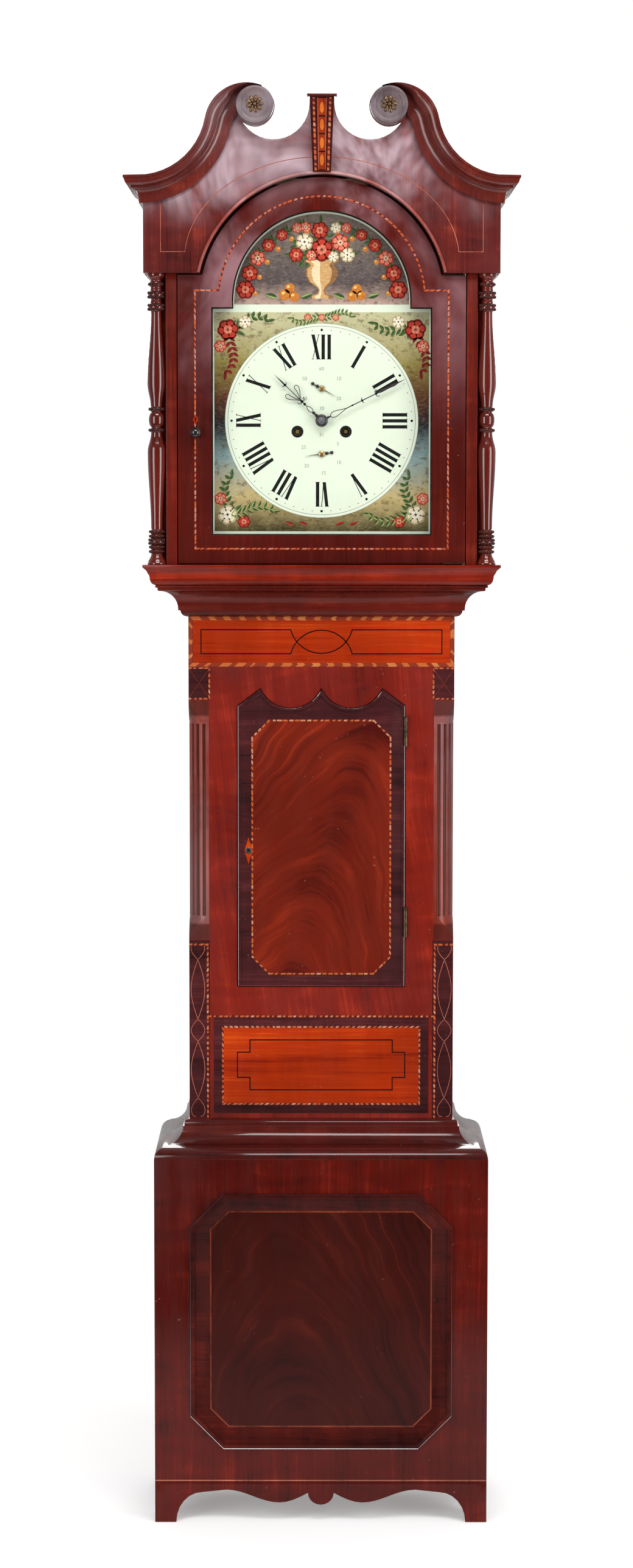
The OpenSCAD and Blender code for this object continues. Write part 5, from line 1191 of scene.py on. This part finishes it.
# Where the photo's hands stand, in degrees clockwise from twelve
MINUTE_ANGLE, HOUR_ANGLE = 63.7, 314
pierced_hand("minute_hand", MINUTE_ANGLE, minute_shapes)
pierced_hand("hour_hand", HOUR_ANGLE, hour_shapes)

# The rings round the winding holes and the tips of the squares in them
wheel_low, wheel_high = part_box("going_great_wheel")
winding_z = (wheel_low.z + wheel_high.z) / 2 / MM
for hand, side in HANDS.items():
    turned(f"winding_ring_{hand}", [(5.6, -1), (9.3, -1), (9.3, 0.5), (8.6, 1.0), (6.6, 1.0), (5.6, 0.4),
                                    (5.6, -1)], (side * WINDING_X, winding_z), DIAL, DIAL_BODY, "iron", ink)
for node in ("strike_great_wheel", "going_great_wheel"):
    low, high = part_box(node)
    turned(node.split("_")[0] + "_square_tip", [(0, -0.2), (2.4, -0.2), (2.4, 0.3), (1.4, 0.6), (0, 0.7)],
           ((low.x + high.x) / 2 / MM, winding_z), low.y, body_of(node), "steel", steel)


# Paintings on the dial: grounds that run from sky to earth, with roses, leaves and fruit of our own design

def ramp(tree, value, stops):
    """Colours against a value from 0 to 1."""
    node = add(tree, "ValToRGB", {0: value})
    marks = node.color_ramp.elements
    while len(marks) < len(stops):
        marks.new(1.0)
    for mark, (share, colour) in zip(marks, stops):
        mark.position, mark.color = share, rgb(colour)
    return node.outputs[0]


def painted_ground(name, stops, blot):
    """A painted ground whose colours change with height (mm), with brush marks and dark foliage in blots."""
    material, tree, shader = finish(name)
    low, high = stops[0][0], stops[-1][0]
    vector = on_object(tree)
    level = swung(tree, split(tree, vector)[2], noise(tree, vector, 22.0, 4.0, 0.6), 0.055)
    level = add(tree, "MapRange", {"Value": level, "From Min": low * MM, "From Max": high * MM}).outputs[0]
    body = ramp(tree, level, [((z - low) / (high - low), colour) for z, colour in stops])
    foliage = noise(tree, stretched(tree, vector, (1, 1, 1.4)), 75.0, 5.0, 0.7)
    body = blend(tree, spread(tree, foliage, 0.52, 0.6, 0.0, 0.55), body, blot)
    stroke_mark = streaks(tree, vector, (160, 160, 420))
    body = blend(tree, spread(tree, stroke_mark, 0.45, 0.85, 0.0, 0.14), body, (0.9, 0.8, 0.6))
    feed(tree, shader, {"Base Color": body, "Roughness": spread(tree, stroke_mark, 0.2, 0.8, 0.34, 0.5),
                        "Specular IOR Level": 0.15, "Normal": bumped(tree, stroke_mark, 0.2, 0.0001)})
    return material


# Plain colours by height in mm, from below: earth, path, water, dusk, russet, autumn leaves, evening sky
corner_ground = painted_ground("corner painting", [
    (1588, (0.05, 0.04, 0.01)), (1640, (0.45, 0.35, 0.15)), (1700, (0.2, 0.3, 0.3)),
    (1750, (0.01, 0.012, 0.02)), (1800, (0.1, 0.03, 0.01)), (1850, (0.25, 0.2, 0.05)),
    (1930, (0.5, 0.48, 0.28))], (0.07, 0.04, 0.01))
arch_ground = painted_ground("arch painting", [
    (1940, (0.44, 0.3, 0.24)), (1975, (0.08, 0.06, 0.06)), (2083, (0.2, 0.16, 0.13))], (0.045, 0.03, 0.03))

PAINTING_HALF, PAINTING_LOW, PAINTING_HIGH = 168.4, 1587, 1929
for hand, side in HANDS.items():
    edge = [(0, PAINTING_LOW), (side * PAINTING_HALF, PAINTING_LOW), (side * PAINTING_HALF, PAINTING_HIGH),
            (0, PAINTING_HIGH)] + arc((0, DIAL_Z), 152, 90, 90 - side * 180, 80)
    paint_sheet(f"corner_painting_{hand}", [edge], DIAL, corner_ground, 0.1)
paint_sheet("arch_painting", [[(-137, 1941)] + arc((0, ARCH_Z), 137, 180, 0, 60) + [(137, 1941)]], DIAL,
            arch_ground, 0.1)

PAINTS = {
    "leaf_shade": ((0.025, 0.05, 0.016), (0.05, 0.09, 0.03)),
    "leaf_green": ((0.09, 0.18, 0.04), (0.05, 0.10, 0.03)),
    "stone_shade": ((0.30, 0.15, 0.06), (0.18, 0.08, 0.03)),
    "stone": ((0.62, 0.38, 0.16), (0.45, 0.24, 0.09)),
    "stone_light": ((0.80, 0.66, 0.42), (0.68, 0.50, 0.28)),
    "fruit": ((0.55, 0.20, 0.03), (0.42, 0.12, 0.02)),
    "red_shade": ((0.20, 0.014, 0.01), (0.12, 0.010, 0.008)),
    "cream_shade": ((0.50, 0.40, 0.24), (0.36, 0.26, 0.14)),
    "red": ((0.52, 0.05, 0.025), (0.34, 0.025, 0.014)),
    "cream": ((0.76, 0.68, 0.48), (0.66, 0.55, 0.36)),
    "pink": ((0.74, 0.24, 0.15), (0.58, 0.13, 0.08)),
    "leaf_light": ((0.30, 0.40, 0.12), (0.20, 0.29, 0.07)),
    "white": ((0.84, 0.80, 0.66), (0.76, 0.70, 0.52)),
    "heart": ((0.10, 0.035, 0.015), (0.2, 0.09, 0.03)),
    "gleam": ((0.80, 0.55, 0.20), (0.70, 0.42, 0.12)),
}
brushed = {tone: [] for tone in PAINTS}


def petal(x, z, long, wide, angle, count=10):
    """An oval about a point, its length along an angle in degrees."""
    cos, sin = heading(angle)
    ring = [(long * math.cos(2 * math.pi * i / count), wide * math.sin(2 * math.pi * i / count))
            for i in range(count)]
    return [(x + a * cos - b * sin, z + a * sin + b * cos) for a, b in ring]


def rose(x, z, size, shade, middle, light, turn=0.0):
    """Two rings of outer petals, four inner ones and a heart."""
    for i in range(6):
        angle = turn + 60 * i
        cos, sin = heading(angle)
        brushed[shade].append(petal(x + size * 0.6 * cos, z + size * 0.6 * sin, size * 0.40, size * 0.46,
                                    angle))
        brushed[middle].append(petal(x + size * 0.52 * cos, z + size * 0.52 * sin, size * 0.30, size * 0.34,
                                     angle + 12))
    for i in range(4):
        angle = turn + 35 + 90 * i
        cos, sin = heading(angle)
        brushed[light].append(petal(x + size * 0.25 * cos, z + size * 0.25 * sin, size * 0.16, size * 0.23,
                                    angle))
    brushed["heart"].append(petal(x, z, size * 0.13, size * 0.13, 0, 8))


def leaf(x, z, long, wide, angle, under="leaf_shade", over="leaf_green"):
    """A pointed leaf that starts at a point, with a paler half."""
    cos, sin = heading(angle)

    def blade(upper, lower):
        shape = [(long * i / 8, edge * wide * math.sin(math.pi * (i / 8) ** 0.8))
                 for edge, marks in ((upper, range(9)), (lower, range(7, 0, -1))) for i in marks]
        return [(x + a * cos - b * sin, z + a * sin + b * cos) for a, b in shape]

    brushed[under].append(blade(0.5, -0.5))
    brushed[over].append(blade(0.42, 0.06))


def spray(x, z, angle, reach, under="leaf_shade", over="leaf_green", size=13):
    """Leaves in pairs along a stem."""
    count = max(2, int(reach / (size * 0.62)))
    for i in range(count):
        share = (i + 0.5) / count
        bend = angle + 16 * math.sin(3 * share)
        cos, sin = heading(bend)
        for lean in (46, -46):
            leaf(x + reach * share * cos, z + reach * share * sin, size * (1.1 - 0.4 * share), size * 0.42,
                 bend + lean, under, over)
    cos, sin = heading(angle + 2)
    leaf(x + reach * cos, z + reach * sin, size, size * 0.4, angle, under, over)


def mirrored(side, angle):
    return angle if side > 0 else 180 - angle


RED, CREAM, PALE = ("red_shade", "red", "pink"), ("cream_shade", "cream", "white"), ("red", "pink", "cream")
for side in HANDS.values():
    # Upper corner
    for angle, reach in ((172, 62), (276, 70), (205, 16)):
        spray(side * 146, 1905, mirrored(side, angle), reach, "red_shade" if angle == 276 else "leaf_shade",
              "fruit" if angle == 276 else "leaf_green")
    rose(side * 147, 1902, 17, *RED, turn=10)
    rose(side * 120, 1914, 11, *CREAM, turn=30)
    rose(side * 159, 1876, 10, *PALE, turn=50)
    # Lower corner
    for angle, reach in ((176, 70), (96, 62), (140, 14)):
        spray(side * 146, 1611, mirrored(side, angle), reach, "leaf_shade",
              "leaf_light" if angle == 176 else "leaf_green")
    rose(side * 148, 1613, 16, *CREAM, turn=20)
    rose(side * 122, 1602, 10.5, *RED, turn=0)
    rose(side * 159, 1638, 10, *PALE, turn=40)
    # Sides of the arch, hung with roses
    for i in range(6):
        cos, sin = heading(9 + 12.5 * i)
        x, z = side * 121 * cos, ARCH_Z + 121 * sin
        spray(x, z, mirrored(side, 100 + 12 * i), 13, "leaf_shade", "leaf_green", 12)
        rose(x, z, 15 - 1.3 * i, *(RED if i % 3 != 2 else PALE), turn=20 * i)
        brushed["fruit"].append(petal(x - side * 15, z - 6, 4.2, 4.2, 0))
        brushed["gleam"].append(petal(x - side * 16, z - 4.6, 1.4, 1.2, 0))
spray(0, 1921, 0, 46, "leaf_shade", "leaf_light", 9)
spray(0, 1921, 180, 46, "leaf_shade", "leaf_light", 9)
for x in (-22, 0, 22):
    rose(x, 1921, 6, *PALE, turn=x)
for x in (-44, -22, 22, 44):
    leaf(x, 1597, 15, 5, 20 if x > 0 else 160, "red_shade", "red")

# The urn in the arch and its flowers
URN = [(17, 1950), (17, 1954), (7, 1957), (4.5, 1964), (9, 1969), (20, 1976), (25, 1986), (25, 1996),
       (19, 2001), (21, 2005), (27, 2007), (27, 2010)]
for tone, left, right in (("stone_shade", -1.0, 1.0), ("stone", -0.9, 0.62), ("stone_light", -0.62, -0.12)):
    brushed[tone].append([(left * r, z) for r, z in URN] + [(right * r, z) for r, z in reversed(URN)])
for angle, reach in ((10, 46), (35, 50), (62, 52), (90, 56), (118, 52), (145, 50), (170, 46)):
    spray(0, 2010, angle, reach, "leaf_shade", "leaf_green" if angle % 4 else "leaf_light", 15)
for x, z, size, tones, turn in ((-40, 2018, 12, RED, 0), (40, 2018, 12, CREAM, 0), (-27, 2038, 14, CREAM, 20),
                                (29, 2037, 14, PALE, 40), (-3, 2056, 14, RED, 10), (22, 2060, 9, CREAM, 15),
                                (-25, 2061, 9, PALE, 25), (0, 2026, 19, RED, 30), (-16, 2017, 9, PALE, 5),
                                (18, 2015, 9, CREAM, 50)):
    rose(x, z, size, *tones, turn=turn)
for x, z, size in ((-58, 1956, 9), (-43, 1953, 8), (-50, 1966, 8), (48, 1954, 8.5), (62, 1955, 7.5),
                   (55, 1965, 8)):
    brushed["fruit"].append(petal(x, z, size, size, 0, 14))
    brushed["gleam"].append(petal(x - 2.4, z + 2.6, size * 0.34, size * 0.26, 30))
for x, z, angle in ((-70, 1952, 165), (-32, 1951, 20), (36, 1951, 160), (72, 1952, 15)):
    leaf(x, z, 20, 8, angle, "leaf_shade", "leaf_light")

for layer, (tone, (colour, shade)) in enumerate(PAINTS.items()):
    paint_sheet(f"brushwork_{tone}", brushed[tone], DIAL, paint(f"{tone} paint".replace("_", " "), colour,
                                                                shade, size=260), 0.16 + 0.03 * layer,
                depth=0.02)

# Pediment: the inlaid block and the flowers on the scrolls

BLOCK_LOW, BLOCK_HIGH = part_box("pediment_block")[0].z / MM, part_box("pediment_block")[1].z / MM - 4


def up_block(half_low, half_high, low=BLOCK_LOW, high=BLOCK_HIGH, shift=0.0):
    """A tapered strip up the block, following its slanting sides."""
    return [(shift - half_low, low), (shift + half_low, low), (shift + half_high, high),
            (shift - half_high, high)]


paint_sheet("block_face", [up_block(13.8, 18.8)], BLOCK, base_band, 0.15, "dark_mahogany", "hood", 0.3)
paint_sheet("block_strip", [up_block(4.6, 6.2, BLOCK_LOW + 4, BLOCK_HIGH - 3)], BLOCK, block_satin, 0.35,
            "satinwood", "hood", 0.3)
paint_sheet("block_lozenges", [petal(0, z, 8.5, 3.1, 90, 16) for z in (BLOCK_LOW + 18, BLOCK_LOW + 44,
                                                                       BLOCK_LOW + 72, BLOCK_LOW + 98)],
            BLOCK, lozenge_satin, 0.5, "satinwood", "hood", 0.3)
paint_sheet("block_cross_bands", [up_block(5, 5, z, z + 2.2) for z in (BLOCK_LOW + 30, BLOCK_LOW + 57,
                                                                       BLOCK_LOW + 84)], BLOCK, black_string,
            0.45, "satinwood", "hood", 0.3)
for hand, side in HANDS.items():
    stringing(f"block_line_{hand}", [(side * 5.2, BLOCK_LOW + 3), (side * 6.8, BLOCK_HIGH - 2)], 0.8, BLOCK,
              "hood", "satinwood", box_string, proud=0.5, depth=0.4)
    stringing(f"block_string_{hand}", [(side * 9.6, BLOCK_LOW + 2), (side * 13.0, BLOCK_HIGH - 2)], 3.4,
              BLOCK, "hood", "satinwood", fine_string, proud=0.45, depth=0.4)


def scaled_ball(x, z, front, across, deep, along, turn):
    """One rounded petal of a cast flower, laid on a front (m); sizes in mm."""
    clear_selection()
    bpy.ops.mesh.primitive_uv_sphere_add(segments=12, ring_count=8, radius=1)
    piece = bpy.context.object
    cos, sin = math.cos(turn), math.sin(turn)
    for vertex in piece.data.vertices:
        a, b, c = vertex.co.x * along, vertex.co.y * across, vertex.co.z * deep
        vertex.co = ((x + a * cos - b * sin) * MM, front - c * MM, (z + a * sin + b * cos) * MM)
    edit(piece)
    bpy.ops.mesh.normals_make_consistent(inside=False)
    done()
    return piece


disc_low, disc_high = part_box("scroll_rosettes")
DISC_R = (disc_high.z - disc_low.z) / 2 / MM
DISC_OUT = (FASCIA - disc_low.y) / MM - 4
# The disc's rim and the step inside it, as how far in from its edge and how far down from its top
DISC_RIM = ((0, 3), (0.9, 0.9), (3, 0), (6, 0.3), (7.2, 1.4), (8.6, 1.5), (9.4, 0.7))
disc_outline = [(0, 0), (DISC_R, 0)] + [(DISC_R - inward, DISC_OUT - down) for inward, down in DISC_RIM]
disc_outline += [(0, DISC_OUT - 0.6)]
for hand, side in HANDS.items():
    x = side * SCROLL_X
    disc = turned(f"scroll_disc_{hand}", disc_outline, (x, SCROLL_Z), FASCIA, "hood", "dark_mahogany",
                  scroll_wood, steps=72)
    face = FASCIA - (DISC_OUT - 0.6) * MM
    parts = [scaled_ball(x, SCROLL_Z, face, 3.6, 4.4, 3.6, 0)]
    for ring, count, radius, long, wide, deep in ((0, 9, 9.2, 4.6, 3.0, 1.6), (1, 7, 5.8, 3.2, 2.2, 2.8)):
        for i in range(count):
            turn = 2 * math.pi * (i + 0.5 * ring) / count
            parts.append(scaled_ball(x + radius * math.cos(turn), SCROLL_Z + radius * math.sin(turn), face,
                                     wide, deep, long, turn))
    flower = joined(parts)
    bpy.ops.object.shade_smooth()
    dressed(flower, f"scroll_flower_{hand}", "hood", "brass", flower_metal)
    if side > 0:
        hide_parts("scroll_rosettes")

# Keyholes, and the gut lines, each in two pieces

turned("trunk_keyhole_ring", [(2.4, 0), (5.0, 0), (5.0, 0.7), (4.2, 1.2), (3.2, 1.2), (2.4, 0.6), (2.4, 0)],
       ESCUTCHEON, DOOR_FIELD - 0.4 * MM, "trunk_door", "steel", blued)
# The keyhole is a black sheet that paints the shade of its opening
veneer("trunk_keyhole", spot(*ESCUTCHEON, 2.5), DOOR_FIELD, "trunk_door", "ebony", ebony, proud=VENEER + 0.35)

seat_low, seat_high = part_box("seatboard")
LINE_CUT = (seat_low.z + seat_high.z) / 2


def gut_line(node):
    """The CAD line, smooth, in two pieces that meet inside the seatboard. The hanging one gets a mesh of its
    own."""
    for name, hangs in ((node + "_hanging", True), (node + "_above", False)):
        piece = copy_of(node, name)
        bpy.ops.mesh.remove_doubles(threshold=MERGE)
        bpy.ops.mesh.bisect(plane_co=(0, 0, LINE_CUT), plane_no=(0, 0, 1), use_fill=True, clear_outer=hangs,
                            clear_inner=not hangs)
        done(smooth=50)
        dressed(piece, name, body_of(node), "gut", gut)
        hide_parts(node)
        if hangs:
            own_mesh(piece)


for train in ("going", "strike"):
    gut_line(f"{train}_line")


# Camera, light and floor

def studio():
    """A plain pale floor, white surroundings, four soft boxes and the camera."""
    world = bpy.data.worlds.new("studio")
    bpy.context.scene.world = world
    world.use_nodes = True
    tree = world.node_tree
    tree.nodes.clear()
    path = add(tree, "LightPath").outputs
    seen = maths(tree, "MAXIMUM", path["Is Camera Ray"], path["Is Transmission Ray"])
    toward = split(tree, add(tree, "TexCoord").outputs["Generated"])
    glossy = times(tree, path["Is Glossy Ray"], spread(tree, toward[1], -0.5, 0.4, 0.05, 0.5))
    shown = maths(tree, "MAXIMUM", seen, glossy)
    soft = times(tree, less(tree, 1.0, maths(tree, "MAXIMUM", seen, path["Is Glossy Ray"])), 0.36)
    back = add(tree, "Background", {"Color": (1, 1, 1, 1), "Strength": plus(tree, shown, soft)})
    tree.links.new(back.outputs[0], add(tree, "OutputWorld").inputs[0])

    def soft_box(name, spot_at, aim, width, height, power):
        light = bpy.data.lights.new(name, "AREA")
        light.shape, light.size, light.size_y, light.energy = "RECTANGLE", width, height, power
        lamp = bpy.data.objects.new(name, light)
        bpy.context.collection.objects.link(lamp)
        lamp.location = spot_at
        lamp.rotation_euler = (Vector(aim) - Vector(spot_at)).to_track_quat("-Z", "Y").to_euler()
        lamp.visible_camera = False

    soft_box("left box", (-2.3, -2.7, 1.6), (0, 0, 1.2), 1.4, 2.6, 54)
    soft_box("right box", (2.5, -1.9, 1.5), (0, 0, 1.2), 1.3, 2.6, 57)
    soft_box("top box", (0.3, -2.4, 3.9), (0, 0, 1.3), 2.4, 1.0, 61)
    soft_box("back box", (0.0, 3.2, 2.6), (0, 0, 1.2), 2.6, 1.4, 52)

    clear_selection()
    bpy.ops.mesh.primitive_circle_add(vertices=96, radius=4.0, fill_type="NGON", location=(0, 0, -0.0004))
    floor = bpy.context.object
    floor.name = "floor"
    material, tree, shader = finish("pale floor")
    away = add(tree, "VectorMath", {0: on_object(tree)}, operation="LENGTH").outputs["Value"]
    feed(tree, shader, {"Base Color": (0.95, 0.95, 0.95, 1), "Emission Color": (1, 1, 1, 1),
                        "Emission Strength": 0.25, "Roughness": 0.9, "Specular IOR Level": 0.1,
                        "Alpha": spread(tree, away, 0.75, 1.9, 1.0, 0.0)})
    floor.data.materials.append(material)

    camera = bpy.data.objects.new("camera", bpy.data.cameras.new("camera"))
    bpy.context.collection.objects.link(camera)
    camera.data.lens = 76.1
    camera.data.sensor_width = 36
    camera.location = (-0.0080, -5.302, 1.65)
    camera.rotation_euler = (math.radians(90 - 5.05), math.radians(-0.04), 0)
    camera.data.clip_end = 60
    bpy.context.scene.camera = camera
    bpy.context.scene.view_settings.view_transform = "Standard"


studio()
